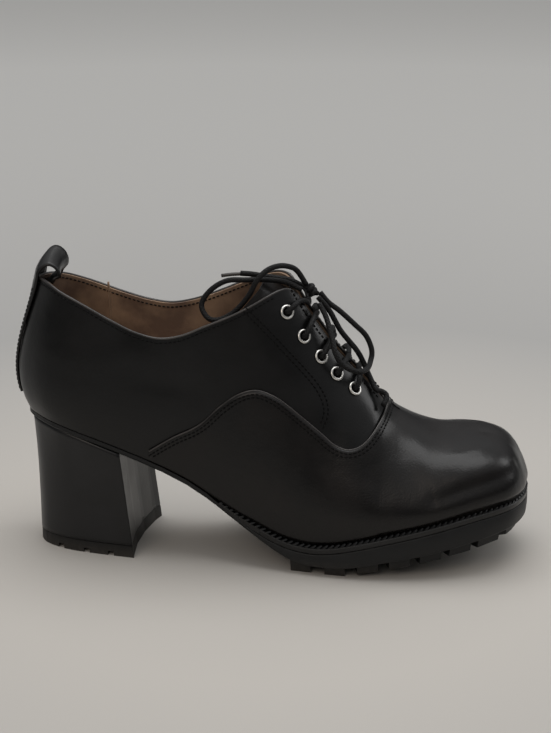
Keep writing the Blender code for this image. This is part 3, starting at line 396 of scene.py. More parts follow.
        def reached(point: np.ndarray) -> bool:
            """Whether the point is beyond the leather's edge.

            Args:
                point: A point on the section.

            Returns:
                True beyond the edge.
            """
            closing = min(max((THROAT_END_X - point[0]) / 6.0, 0.0), 1.0)
            from_middle = abs(point[1] - self.columns["ridge_y"](t))
            in_throat = point[0] > THROAT_START_X
            in_throat = in_throat and from_middle < self.half_throat * math.sqrt(closing)
            above = point[0] < TOPLINE[-1].x and point[2] > self.topline[Side(side)](point[0])
            return point[0] < THROAT_END_X and (in_throat or above)

        return self.turn_where(side, t, reached)

    def vamp_top(self, side: int, t: float) -> float:
        """Where the vamp ends on section t: its seam over the quarters, or the ridge."""
        return self.turn_where(side, t, lambda p: p[0] < VAMP_SEAM[-1].x and p[2] > self.vamp_seam_z(p[0]))

    def over_throat(self, side: int, t: float, across: float, lift: float) -> np.ndarray:
        """A point beside the throat's middle line on section t, lifted from the surface."""
        middle = self.columns["ridge_y"](t)
        turn = self.turn_where(side, t, lambda p: abs(p[1] - middle) <= across)
        return self.skin(side, t, turn, lift)

    def seen_from_side(self, side: int, x: float, z: float) -> tuple[np.ndarray, np.ndarray]:
        """Find the surface point with a given x and z.

        Args:
            side: -1 for the outer side, 1 for the inner side.
            x: Place along the shoe.
            z: Height.

        Returns:
            The point and the outward normal there.
        """
        aim = x
        for _ in range(5):
            t = self.section_at(side, aim)
            turn = self.turn_where(side, t, lambda p: p[2] > z)
            aim += x - self.point(side, t, turn)[0]
        return self.point(side, t, turn), self.normal(side, t, turn)

    def rim(self, side: int, t: float, offset: float) -> np.ndarray:
        """Plan point beside the upper's lower edge, offset outwards.

        Args:
            side: -1 for the outer side, 1 for the inner side.
            t: Section of the last, counted from the toe.
            offset: Millimetres outwards from the edge.

        Returns:
            The point as x and y.
        """
        step = 0.03
        t0, t1 = max(0.0, t - step), min(LAST_END, t + step)
        along = self.foot(side, t1) - self.foot(side, t0)
        if t < step:
            along = np.array([0.0, float(side)])
        outward = np.array([along[1], -along[0]]) * side
        return self.foot(side, t) + outward / np.linalg.norm(outward) * offset

    def relief(self, point: np.ndarray) -> float:
        """How far the creases move the leather at a point, in millimetres outwards.

        Args:
            point: A point on the leather.

        Returns:
            The distance, negative in a fold.
        """
        moved = 0.0
        for crease, line in zip(CREASES, self.crease_lines):
            away = np.linalg.norm(line - point, axis=1)
            nearest = int(away.argmin())
            if away[nearest] > 3 * crease.half_width:
                continue
            fading = math.sqrt(math.sin(math.pi * (nearest + 0.5) / len(line)))
            moved += crease.depth * fading * math.exp(-((away[nearest] / crease.half_width) ** 2))
        return moved


def add_node(tree: Any, kind: str, settings: dict[Any, Any], links: dict[Any, Any]) -> Any:
    """Add one node with its settings and its incoming links.

    Args:
        tree: The material's node tree.
        kind: Blender's name of the node's class.
        settings: Values by property name, or by socket where the key starts with a colon.
        links: Output sockets by the name or number of the input that they feed.

    Returns:
        The new node.
    """
    node = tree.nodes.new(kind)
    for name, value in settings.items():
        if str(name).startswith(":"):
            node.inputs[int(name[1:]) if name[1:].isdigit() else name[1:]].default_value = value
        else:
            setattr(node, name, value)
    for name, output in links.items():
        tree.links.new(output, node.inputs[name])
    return node


def linear(colour: str) -> tuple[float, float, float, float]:
    """Linear red, green, blue and alpha of an sRGB hex colour."""
    parts = [int(colour[i:i + 2], 16) / 255 for i in (1, 3, 5)]
    return (*(c / 12.92 if c <= 0.04045 else ((c + 0.055) / 1.055) ** 2.4 for c in parts), 1.0)


class Texture(Enum):
    """Kinds of fine surface relief."""

    GRAIN = "cells of pressed leather grain"
    PORES = "fine uneven pitting"
    BRAID = "two sets of crossing yarns along a round lace"


@dataclass(frozen=True)
class Relief:
    """One layer of fine relief: its kind and its real size and depth in millimetres."""

    texture: Texture
    size: float
    depth: float

    def height(self, tree: Any, place: Any, along: Any) -> Any:
        """Add the layer's pattern.

        Args:
            tree: The material's node tree.
            place: Socket with the place on the object in millimetres.
            along: Socket with the millimetres along and round a lace.

        Returns:
            The output socket of the height, from about 0 to 1.
        """
        if self.texture is Texture.GRAIN:
            settings = {"feature": "SMOOTH_F1", ":Scale": 1 / self.size, ":Smoothness": 0.4}
            return add_node(tree, "ShaderNodeTexVoronoi", settings, {"Vector": place}).outputs[0]
        if self.texture is Texture.PORES:
            settings = {":Scale": 1 / self.size, ":Detail": 4.0}
            return add_node(tree, "ShaderNodeTexNoise", settings, {"Vector": place}).outputs[0]
        heights = []
        for lean in (0.9, -0.9):
            leaned = add_node(
                tree, "ShaderNodeMapping", {":Rotation": (0.0, 0.0, lean)}, {"Vector": along})
            # A wave texture of scale s has one band every 0.314 / s
            wave = {":Scale": 0.314 / self.size}
            heights.append(add_node(
                tree, "ShaderNodeTexWave", wave, {"Vector": leaned.outputs[0]}).outputs["Fac"])
        joined = {"operation": "MAXIMUM"}
        return add_node(tree, "ShaderNodeMath", joined, {0: heights[0], 1: heights[1]}).outputs[0]


@dataclass(frozen=True)
class Finish:
    """One real material: its colours, gloss and fine relief."""

    name: str
    slot: str
    dark: str
    light: str
    patch_size: float
    rough_low: float
    rough_high: float
    reliefs: tuple[Relief, ...]
    metallic: float = 0.0
    specular: float = 0.5
    coat: float = 0.0
    coat_roughness: float = 0.2
    sheen: float = 0.0
    dust: str = ""
    dust_height: float = 0.0

    def build(self) -> Any:
        """Build the material's nodes and return the material."""
        made = bpy.data.materials.new(self.name)
        made.use_nodes = True
        tree = made.node_tree
        shader = tree.nodes["Principled BSDF"]
        places = add_node(tree, "ShaderNodeTexCoord", {}, {})
        to_mm = {":Scale": (1 / MM, 1 / MM, 1 / MM)}
        place = add_node(tree, "ShaderNodeMapping", to_mm, {"Vector": places.outputs["Object"]})
        place, along = place.outputs[0], places.outputs["UV"]
        patches = add_node(
            tree, "ShaderNodeTexNoise", {":Scale": 1 / self.patch_size, ":Detail": 3.0},
            {"Vector": place})
        spread = add_node(
            tree, "ShaderNodeMapRange", {":From Min": 0.35, ":From Max": 0.65},
            {"Value": patches.outputs[0]}).outputs[0]
        colour = self.mixed(tree, spread, linear(self.dark), linear(self.light))
        if self.dust:
            colour = self.dusted(tree, place, colour)
        tree.links.new(colour, shader.inputs["Base Color"])
        rough = add_node(
            tree, "ShaderNodeMapRange",
            {":To Min": self.rough_low, ":To Max": self.rough_high}, {"Value": spread})
        tree.links.new(rough.outputs[0], shader.inputs["Roughness"])
        fixed = {
            "Metallic": self.metallic, "Specular IOR Level": self.specular,
            "Coat Weight": self.coat, "Coat Roughness": self.coat_roughness,
            "Sheen Weight": self.sheen,
        }
        for name, value in fixed.items():
            shader.inputs[name].default_value = value
        surface = None
        for relief in self.reliefs:
            feeds = {"Height": relief.height(tree, place, along)}
            if surface is not None:
                feeds["Normal"] = surface
            bump = add_node(
                tree, "ShaderNodeBump", {":Strength": 1.0, ":Distance": relief.depth * MM}, feeds)
            surface = bump.outputs[0]
        if surface is not None:
            tree.links.new(surface, shader.inputs["Normal"])
        made.diffuse_color = linear(self.dark)
        return made

    def mixed(self, tree: Any, share: Any, first: Any, second: Any) -> Any:
        """Mix two colours by a share socket and return the colour socket.

        Args:
            tree: The material's node tree.
            share: Output socket with the share of the second.
            first: A colour or an output socket.
            second: A colour or an output socket.

        Returns:
            The output socket of the mix.
        """
        mix = add_node(tree, "ShaderNodeMix", {"data_type": "RGBA"}, {0: share})
        for number, colour in ((6, first), (7, second)):
            if isinstance(colour, tuple):
                mix.inputs[number].default_value = colour
            else:
                tree.links.new(colour, mix.inputs[number])
        return mix.outputs[2]

    def dusted(self, tree: Any, place: Any, colour: Any) -> Any:
        """Add pale dust that fades out above dust_height and return the colour socket.

        Args:
            tree: The material's node tree.
            place: Output socket with the coordinates.
            colour: A colour or an output socket.

        Returns:
            The output socket with the dust on it.
        """
        split = add_node(tree, "ShaderNodeSeparateXYZ", {}, {"Vector": place})
        fading = add_node(
            tree, "ShaderNodeMapRange",
            {":From Min": 0.0, ":From Max": self.dust_height, ":To Min": 0.5, ":To Max": 0.0},
            {"Value": split.outputs["Z"]})
        specks = add_node(
            tree, "ShaderNodeTexNoise", {":Scale": 0.5, ":Detail": 6.0}, {"Vector": place})
        share = add_node(
            tree, "ShaderNodeMath", {"operation": "MULTIPLY"},
            {0: fading.outputs[0], 1: specks.outputs[0]})
        return self.mixed(tree, share.outputs[0], colour, linear(self.dust))


# Calf leather, dyed through, filled with pigment and waxed, then brushed: a dark smooth
# face with soft wide highlights and a very fine grain.
QUARTER_CALF = Finish(
    "waxed_calf_quarter", "quarter_leather", "#050505", "#0b0b0c", 26.0, 0.30, 0.40,
    (Relief(Texture.GRAIN, 0.8, 0.03), Relief(Texture.PORES, 6.0, 0.12)),
    specular=0.3, coat=0.1, coat_roughness=0.25)

# The same calf over the toes, stretched and burnished, with a brown cast where it is thin.
VAMP_CALF = Finish(
    "burnished_calf_vamp", "vamp_leather", "#070606", "#110e0d", 22.0, 0.29, 0.39,
    (Relief(Texture.GRAIN, 0.9, 0.04), Relief(Texture.PORES, 7.0, 0.2)),
    specular=0.3, coat=0.08, coat_roughness=0.22)

# The tongue is the same hide left a little duller.
TONGUE_CALF = Finish(
    "plain_calf_tongue", "tongue_leather", "#070606", "#0d0b0b", 18.0, 0.45, 0.55,
    (Relief(Texture.GRAIN, 0.9, 0.05),), specular=0.3)

# Heavier calf strap, edges painted, rubbed smooth by the hand.
STRAP_CALF = Finish(
    "calf_strap", "backstay_leather", "#080808", "#121111", 12.0, 0.30, 0.40,
    (Relief(Texture.GRAIN, 0.9, 0.04),), specular=0.35, coat=0.12, coat_roughness=0.25)

# Vegetable-tanned pigskin lining, undyed brown, matt, with open pores.
BROWN_LINING = Finish(
    "pigskin_lining", "brown_lining", "#70594a", "#9d8168", 14.0, 0.6, 0.75,
    (Relief(Texture.PORES, 1.1, 0.10), Relief(Texture.GRAIN, 2.2, 0.06)), sheen=0.15)

# Moulded rubber: satin from the mould, faint pitting, pale dust on the tread.
SOLE_RUBBER = Finish(
    "moulded_rubber_sole", "sole_rubber", "#0a0b0c", "#131415", 15.0, 0.42, 0.55,
    (Relief(Texture.PORES, 0.8, 0.05),), specular=0.35, dust="#5b5650", dust_height=9.0)

# The welt strip is extruded rubber, a little glossier.
WELT_RUBBER = Finish(
    "extruded_rubber_welt", "welt_rubber", "#0a0a0b", "#131314", 10.0, 0.30, 0.40,
    (Relief(Texture.PORES, 0.8, 0.03),), specular=0.4)

# The heel is a moulded block under a smooth satin lacquer.
HEEL_LACQUER = Finish(
    "lacquered_heel_block", "heel_cover", "#0b0b0d", "#151517", 20.0, 0.32, 0.40,
    (Relief(Texture.PORES, 3.0, 0.05),), specular=0.35, coat=0.1, coat_roughness=0.25)

TOP_PIECE_RUBBER = Finish(
    "moulded_rubber_top_piece", "top_piece_rubber", "#0b0b0c", "#141414", 12.0, 0.5, 0.62,
    (Relief(Texture.PORES, 0.7, 0.06),), specular=0.35, dust="#5b5650", dust_height=6.0)

# Pressed brass eyelets, nickel plated and tumbled bright.
NICKEL_PLATE = Finish(
    "nickel_plated_brass", "eyelet_nickel", "#d3d1cb", "#f0eeea", 4.0, 0.28, 0.38,
    (Relief(Texture.PORES, 1.0, 0.01),), metallic=1.0)

# Round braided cotton, waxed. The real braid is 0.7 mm; it is drawn at 1.1 mm to show.
WAXED_COTTON = Finish(
    "waxed_cotton_braid", "lace_cotton", "#050506", "#0e0e0f", 5.0, 0.5, 0.62,
    (Relief(Texture.BRAID, 1.1, 0.16),), specular=0.25, sheen=0.02)

# Bonded nylon thread, dyed black and slightly shiny, drawn darker than the calf: black thread plus painted
# shade of the stitch holes.
NYLON_THREAD_PAINTED_SHADE = Finish(
    "bonded_nylon_thread_painted_shade", "quarter_leather", "#020202", "#070707", 3.0, 0.5, 0.6,
    (Relief(Texture.PORES, 0.3, 0.03),), specular=0.15)

# Leather edges skived, folded and edge-painted; their colours are paler than the calf, as a painted highlight
# along the rounded edge.
FOLDED_EDGE_PAINTED_HIGHLIGHT = Finish(
    "folded_calf_edge_painted_highlight", "quarter_leather", "#1f1c1b", "#3a3634", 9.0, 0.3, 0.4,
    (Relief(Texture.PORES, 1.5, 0.05),), specular=0.5, coat=0.2, coat_roughness=0.25)

ALL_FINISHES = (
    QUARTER_CALF, VAMP_CALF, TONGUE_CALF, STRAP_CALF, BROWN_LINING, SOLE_RUBBER, WELT_RUBBER,
    HEEL_LACQUER, TOP_PIECE_RUBBER, NICKEL_PLATE, WAXED_COTTON, NYLON_THREAD_PAINTED_SHADE, FOLDED_EDGE_PAINTED_HIGHLIGHT,
)


@dataclass
class Workshop:
    """Keeps the built materials and makes, smooths and registers the pieces."""

    materials: dict[str, Any] = field(default_factory=dict)

    def __post_init__(self) -> None:
        """Build every finish once."""
        for finish in ALL_FINISHES:
            self.materials[finish.name] = finish.build()

    def add(self, name: str, mesh: Any, finishes: Sequence[Finish]) -> Any:
        """Make an object of a mesh with its materials.

        Args:
            name: The piece's name.
            mesh: Its mesh, in metres.
            finishes: Its finishes; the first is used where faces name none.

        Returns:
            The object, linked to the scene.
        """
        made = bpy.data.objects.new(name, mesh)
        bpy.context.scene.collection.objects.link(made)
        for finish in finishes:
            made.data.materials.append(self.materials[finish.name])
        return made

    def register(self, piece: Any, finish: Finish, *nodes: str) -> Any:
        """Let a piece ride on the shoe and say which nodes it stands for.

        Args:
            piece: The object.
            finish: Its main finish; not used.
            nodes: Names of the nodes that it replaces.

        Returns:
            The same object.
        """
        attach(piece, BODY)
        if nodes:
            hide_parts(*nodes)
        log.info("%s: %d faces, stands for %s", piece.name, len(piece.data.polygons), nodes or "none")
        return piece

    def settle(self, piece: Any) -> None:
        """Apply all of a piece's modifiers to its mesh.

        Args:
            piece: The object.
        """
        graph = bpy.context.evaluated_depsgraph_get()
        mesh = bpy.data.meshes.new_from_object(piece.evaluated_get(graph))
        piece.modifiers.clear()
        piece.data = mesh

    def mesh(self, name: str, points: Sequence[Point], faces: Sequence[Sequence[int]]) -> Any:
        """Make a smooth mesh of points in the last's axes, with merged corners.

        Args:
            name: The object's name.
            points: Corners in the last's axes.
            faces: Corner numbers of each face.

        Returns:
            The new object.
        """
        mesh = bpy.data.meshes.new(name)
        mesh.from_pydata([tuple(p) for p in to_frame(points)], [], faces)
        work = bmesh.new()
        work.from_mesh(mesh)
        bmesh.ops.remove_doubles(work, verts=work.verts, dist=0.02 * MM)
        bmesh.ops.dissolve_degenerate(work, dist=0.004 * MM, edges=work.edges)
        bmesh.ops.recalc_face_normals(work, faces=work.faces)
        work.to_mesh(mesh)
        work.free()
        mesh.shade_smooth()
        mesh.set_sharp_from_angle(angle=math.radians(40))
        return mesh

    def sheet(self, name: str, grids: Sequence[Sequence[Sequence[Point]]], finishes: Sequence[Finish]) -> Any:
        """Make an open surface of one grid of points for each side.

        Args:
            name: The object's name.
            grids: Rows of points, one grid for each side.
            finishes: Its finishes, the outer one first.

        Returns:
            The new object.
        """
        points, faces = [], []
        for grid in grids:
            rows, columns, first = len(grid), len(grid[0]), len(points)
            faces += [
                (first + r * columns + c, first + r * columns + c + 1,
                 first + (r + 1) * columns + c + 1, first + (r + 1) * columns + c)
                for r in range(rows - 1) for c in range(columns - 1)
            ]
            points += [p for row in grid for p in row]
        made = self.add(name, self.mesh(name, points, faces), finishes)
        inside = Vector(to_frame([INSIDE_POINT])[0])
        if sum((p.center - inside).dot(p.normal) * p.area for p in made.data.polygons) < 0:
            made.data.flip_normals()
        return made

    def thicken(self, piece: Any, thickness: float, outward: bool, lined: bool) -> None:
        """Give an open surface its thickness, with the second finish on its inner face.

        Args:
            piece: The open surface.
            thickness: Millimetres.
            outward: Whether it grows outwards.
            lined: Whether the new face takes the second finish.
        """
        wall = piece.modifiers.new("Wall", "SOLIDIFY")
        wall.thickness = thickness * MM
        wall.offset = 1.0 if outward else -1.0
        wall.use_quality_normals = True
        wall.material_offset = 1 if lined else 0
        wall.material_offset_rim = 1 if lined else 0
        self.settle(piece)

    def tube(self, name: str, path: np.ndarray, radius: float, finish: Finish, sides: int = 10,
             closed: bool = False) -> Any:
        """Make a round tube along a path, with millimetres along and round it as its UV.

        Args:
            name: The piece's name.
            path: Points in the last's axes.
            radius: Radius in millimetres.
            finish: Its finish.
            sides: Number of sides round it.
            closed: Whether the path's end joins its start.

        Returns:
            The object.
        """
        count = len(path)
        steps = np.gradient(path, axis=0)
        run = np.concatenate([[0.0], np.cumsum(np.linalg.norm(np.diff(path, axis=0), axis=1))])
        spoke = Vector(steps[0]).orthogonal().normalized()
        points, places = [], []
        for place, step, length in zip(path, steps, run):
            axis = Vector(step).normalized()
            spoke = (spoke - axis * spoke.dot(axis)).normalized()
            other = axis.cross(spoke)
            for i in range(sides):
                angle = 2 * math.pi * i / sides
                around = spoke * math.cos(angle) + other * math.sin(angle)
                points.append(tuple(Vector(place) + around * radius))
                places.append((length, angle * radius))
        rings = count if closed else count - 1
        faces = [
            (r * sides + i, r * sides + (i + 1) % sides,
             (r + 1) % count * sides + (i + 1) % sides, (r + 1) % count * sides + i)
            for r in range(rings) for i in range(sides)
        ]
        if not closed:
            faces += [tuple(range(sides))[::-1], tuple(range((count - 1) * sides, count * sides))]
        mesh = bpy.data.meshes.new(name)
        mesh.from_pydata([tuple(p) for p in to_frame(points)], [], faces)
        sheet = mesh.uv_layers.new(name="along")
        for polygon in mesh.polygons:
            corners = [mesh.loops[k].vertex_index for k in polygon.loop_indices]
            wraps = any(v % sides == 0 for v in corners) and any(v % sides == sides - 1 for v in corners)
            for loop, v in zip(polygon.loop_indices, corners):
                turn = 2 * math.pi * radius if wraps and v % sides == 0 else 0.0
                sheet.data[loop].uv = (places[v][0], places[v][1] + turn)
        work = bmesh.new()
        work.from_mesh(mesh)
        bmesh.ops.recalc_face_normals(work, faces=work.faces)
        work.to_mesh(mesh)
        work.free()
        mesh.shade_smooth()
        return self.add(name, mesh, [finish])

    def join(self, name: str, parts: Sequence[Any]) -> Any:
        """Join separate objects into the first one, under a new name.

        Args:
            name: The name of the result.
            parts: The objects, of which the first is kept.

        Returns:
            The joined object.
        """
        first = parts[0]
        work = bmesh.new()
        for part in parts:
            work.from_mesh(part.data)
        work.to_mesh(first.data)
        work.free()
        for part in parts[1:]:
            bpy.data.objects.remove(part)
        first.name = name
        first.data.name = name
        return first

    def grains(self, name: str, spots: Sequence[tuple[Any, Any, Any]], length: float, radius: float,
               finish: Finish, height: float = 1.0) -> Any:
        """Make many small rounded grains, such as stitches or welt ribs, as one mesh.

        Args:
            name: The piece's name.
            spots: For each grain its centre, its direction and the normal under it.
            length: Length of a grain in millimetres.
            radius: Radius of a grain in millimetres.
            finish: Its finish.
            height: Height over width of a grain's section.

        Returns:
            The object.
        """
        profile = ((-0.5, 0.25), (-0.36, 0.8), (0.0, 1.0), (0.36, 0.8), (0.5, 0.25))
        sides = 6
        points, faces = [], []
        for centre, direction, normal in spots:
            axis = Vector(direction).normalized()
            up = Vector(normal) - axis * Vector(normal).dot(axis)
            up.normalize()
            across = axis.cross(up)
            first = len(points)
            for place, share in profile:
                for i in range(sides):
                    angle = 2 * math.pi * i / sides
                    spoke = across * math.cos(angle) + up * math.sin(angle) * height
                    points.append(tuple(Vector(centre) + axis * place * length + spoke * radius * share))
            for r in range(len(profile) - 1):
                faces += [
                    (first + r * sides + i, first + r * sides + (i + 1) % sides,
                     first + (r + 1) * sides + (i + 1) % sides, first + (r + 1) * sides + i)
                    for i in range(sides)
                ]
            end = first + (len(profile) - 1) * sides
            faces += [tuple(range(first, first + sides)), tuple(range(end, end + sides))]
        mesh = self.mesh(name, points, faces)
        mesh.shade_smooth()
        return self.add(name, mesh, [finish])


def smooth_route(points: Route, count: int) -> np.ndarray:
    """Spread points evenly along a smooth curve through a route's own points.

    Args:
        points: The route's points.
        count: How many points to return.

    Returns:
        An array of points.
    """
    points = [np.asarray(p, float) for p in points]
    ends = [2 * points[0] - points[1]] + points + [2 * points[-1] - points[-2]]
    fine = []
    for a, b, c, d in zip(ends, ends[1:], ends[2:], ends[3:]):
        for u in np.linspace(0.0, 1.0, 12, endpoint=False):
            fine.append(0.5 * (2 * b + (c - a) * u + (2 * a - 5 * b + 4 * c - d) * u**2
                               + (3 * b - a - 3 * c + d) * u**3))
    fine = np.array(fine + [points[-1]])
    along = run_lengths(fine)
    spots = np.linspace(0.0, along[-1], count)
    return np.column_stack([np.interp(spots, along, fine[:, k]) for k in range(3)])


def run_lengths(points: np.ndarray) -> np.ndarray:
    """Length along a line of points up to each of them."""
    return np.concatenate([[0.0], np.cumsum(np.linalg.norm(np.diff(points, axis=0), axis=1))])


def stitch_spots(points: Sequence[Any], normals: Sequence[Any], pitch: float, lift: float) -> list[Any]:
    """Spread stitches along a seam.

    Args:
        points: Points of the seam.
        normals: Outward normals at those points.
        pitch: Millimetres from one stitch to the next.
        lift: Height of the thread's middle above the seam.

    Returns:
        Centre, direction and normal of each stitch.
    """
    points, normals = np.asarray(points), np.asarray(normals)
    along = run_lengths(points)
    spots = []
    for place in np.arange(pitch / 2, along[-1], pitch):
        ahead, behind = place + 0.6, place - 0.6
        centre, before, after, normal = (
            np.array([np.interp(where, along, values[:, k]) for k in range(3)])
            for where, values in ((place, points), (behind, points), (ahead, points), (place, normals))
        )
        spots.append((centre + normal * lift, after - before, normal))
    return spots


@dataclass
class Uppers:
    """The leather of the shoe: quarters, vamp and tongue, with their edges and seams."""

    shop: Workshop
    last: Last
    rows: int = 26
    wall: float = 2.0
    vamp_thick: float = 1.0
    vamp_gap: float = 0.25
    vamp_edge_rise: float = 0.2
    feather_margin: float = 2.0
    vamp_clearance: float = 0.9
    vamp_end_x: float = 69.0
    tongue_thick: float = 1.8
    tongue_gap: float = 0.8
    eyelet_xs: tuple[float, ...] = (133.4, 141.4, 149.5, 156.9, 165.5)
    eyelet_across: float = 14.0
    eyelet_hole_r: float = 2.15
    eyelet_barrel_r: float = 2.45
    eyelet_flange_r: float = 3.5
    stitch_pitch: float = 2.2
    stitch_length: float = 1.6
    thread_r: float = 0.38
    lining_seam_x: float = 42.0

    def sections(self) -> np.ndarray:
        """Sections of the leather from the toe to the heel, closest at the toe and throat."""
        spans = ((0.0, 4.0, 49), (4.0, 8.0, 37), (8.0, 8.4, 13), (8.4, 16.0, 91), (16.0, LAST_END, 71))
        return np.concatenate([np.linspace(a, b, n)[(1 if a else 0):] for a, b, n in spans])

    def build(self) -> None:
        """Build every piece of leather."""
        self.build_quarters()
        self.build_vamp()
        self.build_tongue()
        self.build_edges()
        self.build_seams()

    def relieved(self, side: int, t: float, turn: float, lift: float) -> np.ndarray:
        """A point of the leather's face with the creases on it."""
        point = self.last.point(side, t, turn)
        return point + (lift + self.last.relief(point)) * self.last.normal(side, t, turn)

    def build_quarters(self) -> None:
        """The hollow upper with its brown lining and its eyelet holes."""
        grids = []
        for side in SIDES:
            grids.append([
                [self.relieved(side, t, self.last.upper_top(side, t) * r / self.rows, 0.0)
                 for r in range(self.rows + 1)]
                for t in self.sections()
            ])
        piece = self.shop.sheet("quarters", grids, [QUARTER_CALF, BROWN_LINING])
        self.shop.thicken(piece, self.wall, outward=False, lined=True)
        tools = []
        for side in SIDES:
            for x in self.eyelet_xs:
                centre, axis = self.eyelet_frame(side, x)
                path = np.array([centre - axis * 4.0, centre, centre + axis * 3.0])
                tools.append(self.shop.tube("hole", path, self.eyelet_barrel_r + 0.1, QUARTER_CALF, 20))
        tool = self.shop.join("holes", tools)
        cut = piece.modifiers.new("Holes", "BOOLEAN")
        cut.operation, cut.solver, cut.object = "DIFFERENCE", "EXACT", tool
        self.shop.settle(piece)
        bpy.data.objects.remove(tool)
        piece.data.set_sharp_from_angle(angle=math.radians(40))
        self.shop.register(piece, QUARTER_CALF, "upper")

    def eyelet_frame(self, side: int, x: float) -> tuple[np.ndarray, np.ndarray]:
        """Centre of an eyelet on the upper's surface, and the direction out of it."""
        t = self.last.section_at(side, x)
        centre = self.last.over_throat(side, t, self.eyelet_across, 0.0)
        return centre, self.last.over_throat(side, t, self.eyelet_across, 1.0) - centre

    def vamp_lifts(self) -> np.ndarray:
        """How far each row of the vamp stands off the last, rising at its seam."""
        return self.vamp_gap + self.vamp_edge_rise * np.linspace(0.0, 1.0, self.rows + 1) ** 3

    def vamp_sections(self, side: int) -> list[float]:
        """Sections of the vamp on one side."""
        end = self.last.section_at(side, self.vamp_end_x)
        return [t for t in self.sections() if t < end - 0.05] + [end]

    def build_vamp(self) -> None:
        """The vamp over the front of the quarters."""
        grids = []
        for side in SIDES:
            grid = []
            for t in self.vamp_sections(side):
                lowest = self.last.feather_z(self.last.foot(side, t)[0]) + self.vamp_clearance
                start = self.last.turn_where(side, t, lambda p: p[2] > lowest)
                turns = np.linspace(start, self.last.vamp_top(side, t), self.rows + 1)
                grid.append([
                    self.relieved(side, t, turn, lift)
                    for turn, lift in zip(turns, self.vamp_lifts())
                ])
            grids.append(grid)
        piece = self.shop.sheet("vamp_cover", grids, [VAMP_CALF])
        self.shop.thicken(piece, self.vamp_thick, outward=True, lined=False)
        self.shop.register(piece, VAMP_CALF, "vamp")

    def tongue_point(self, side: int, t: float, across: float) -> np.ndarray:
        """A point of the tongue's outer face.

        Args:
            side: -1 for the outer side, 1 for the inner side.
            t: Section of the last, counted from the toe.
            across: Millimetres from the middle line.

        Returns:
            The point.
        """
        flat_x, flat_z, slope = 141.4, 123.5, -0.5
        point = self.last.over_throat(side, t, across, -(self.wall + self.tongue_gap))
        cap = flat_z + slope * (point[0] - flat_x)
        if point[0] < flat_x and point[2] > cap:
            point[2] = cap + 0.05 * (point[2] - cap)
        return point

    def build_tongue(self) -> None:
        """The tongue under the throat, cut along its slanting top edge."""
        start_x, end_x, half_width = 184.0, 110.0, 20.0
        top_point, top_normal = (124.0, 0.0, 137.4), (-0.754, 0.0, 0.656)
        first, final = (self.last.section_at(Side.OUTER, x) for x in (start_x, end_x))
        grids = [
            [[self.tongue_point(side, t, half_width * c / 12) for c in range(13)]
             for t in np.linspace(first, final, 49)]
            for side in SIDES
        ]
        piece = self.shop.sheet("tongue_cover", grids, [TONGUE_CALF, BROWN_LINING])
        self.shop.thicken(piece, self.tongue_thick, outward=False, lined=True)
        work = bmesh.new()
        work.from_mesh(piece.data)
        cut = bmesh.ops.bisect_plane(
            work, geom=work.verts[:] + work.edges[:] + work.faces[:], dist=1e-6,
            plane_co=to_frame([top_point])[0], plane_no=top_normal, clear_outer=True)
        bmesh.ops.edgeloop_fill(work, edges=[e for e in cut["geom_cut"] if isinstance(e, bmesh.types.BMEdge)])
        work.to_mesh(piece.data)
        work.free()
        piece.data.set_sharp_from_angle(angle=math.radians(40))
        self.shop.register(piece, TONGUE_CALF, "tongue")

    def top_rim(self, side: int, sink: float) -> list[np.ndarray]:
        """The upper's open edge on one side, from the throat's lower end to the heel.

        Args:
            side: -1 for the outer side, 1 for the inner side.
            sink: Millimetres below the last's surface.

        Returns:
            The points of the edge.
        """
        rim = []
        for t in self.sections():
            turn = self.last.upper_top(side, t)
            if turn < math.pi / 2 - 1e-3:
                rim.append(self.last.skin(side, t, turn, -sink))
        return rim

    def build_edges(self) -> None:
        """Rounded folded edges along the topline, the facings and the vamp's seam, in a pale finish that is a
        painted highlight.
        """
        outer, inner = (self.top_rim(side, 0.55) for side in SIDES)
        path = np.array(outer + inner[::-1][1:])
        count = round(run_lengths(path)[-1] / 1.2)
        # The fold's pale colour is a painted highlight along the topline and facings.
        piece = self.shop.tube("topline_fold", smooth_route(path, count), 0.68, FOLDED_EDGE_PAINTED_HIGHLIGHT, 8)
        self.shop.register(piece, FOLDED_EDGE_PAINTED_HIGHLIGHT)
        seams = []
        for side in SIDES:
            rim = []
            lift = self.vamp_gap + self.vamp_edge_rise + self.vamp_thick - 0.34
            for t in self.vamp_sections(side):
                turn = self.last.vamp_top(side, t)
                if turn < math.pi / 2 - 1e-3:
                    rim.append(self.relieved(side, t, turn, lift))
            seams.append(rim)
        path = np.array(seams[0][::-1] + seams[1])
        count = round(run_lengths(path)[-1] / 1.2)
        # The vamp's rolled edge takes the same pale finish: a painted highlight along its seam.
        piece = self.shop.tube("vamp_edge", smooth_route(path, count), 0.42, FOLDED_EDGE_PAINTED_HIGHLIGHT, 8)
        self.shop.register(piece, FOLDED_EDGE_PAINTED_HIGHLIGHT)
        path = [
            self.last.seen_from_side(Side.INNER, self.lining_seam_x, z) for z in np.linspace(126, 84, 24)]
        path = np.array([point - normal * (self.wall + 0.05) for point, normal in path])
        piece = self.shop.tube("lining_seam", path, 0.55, BROWN_LINING, 8)
        self.shop.register(piece, BROWN_LINING)

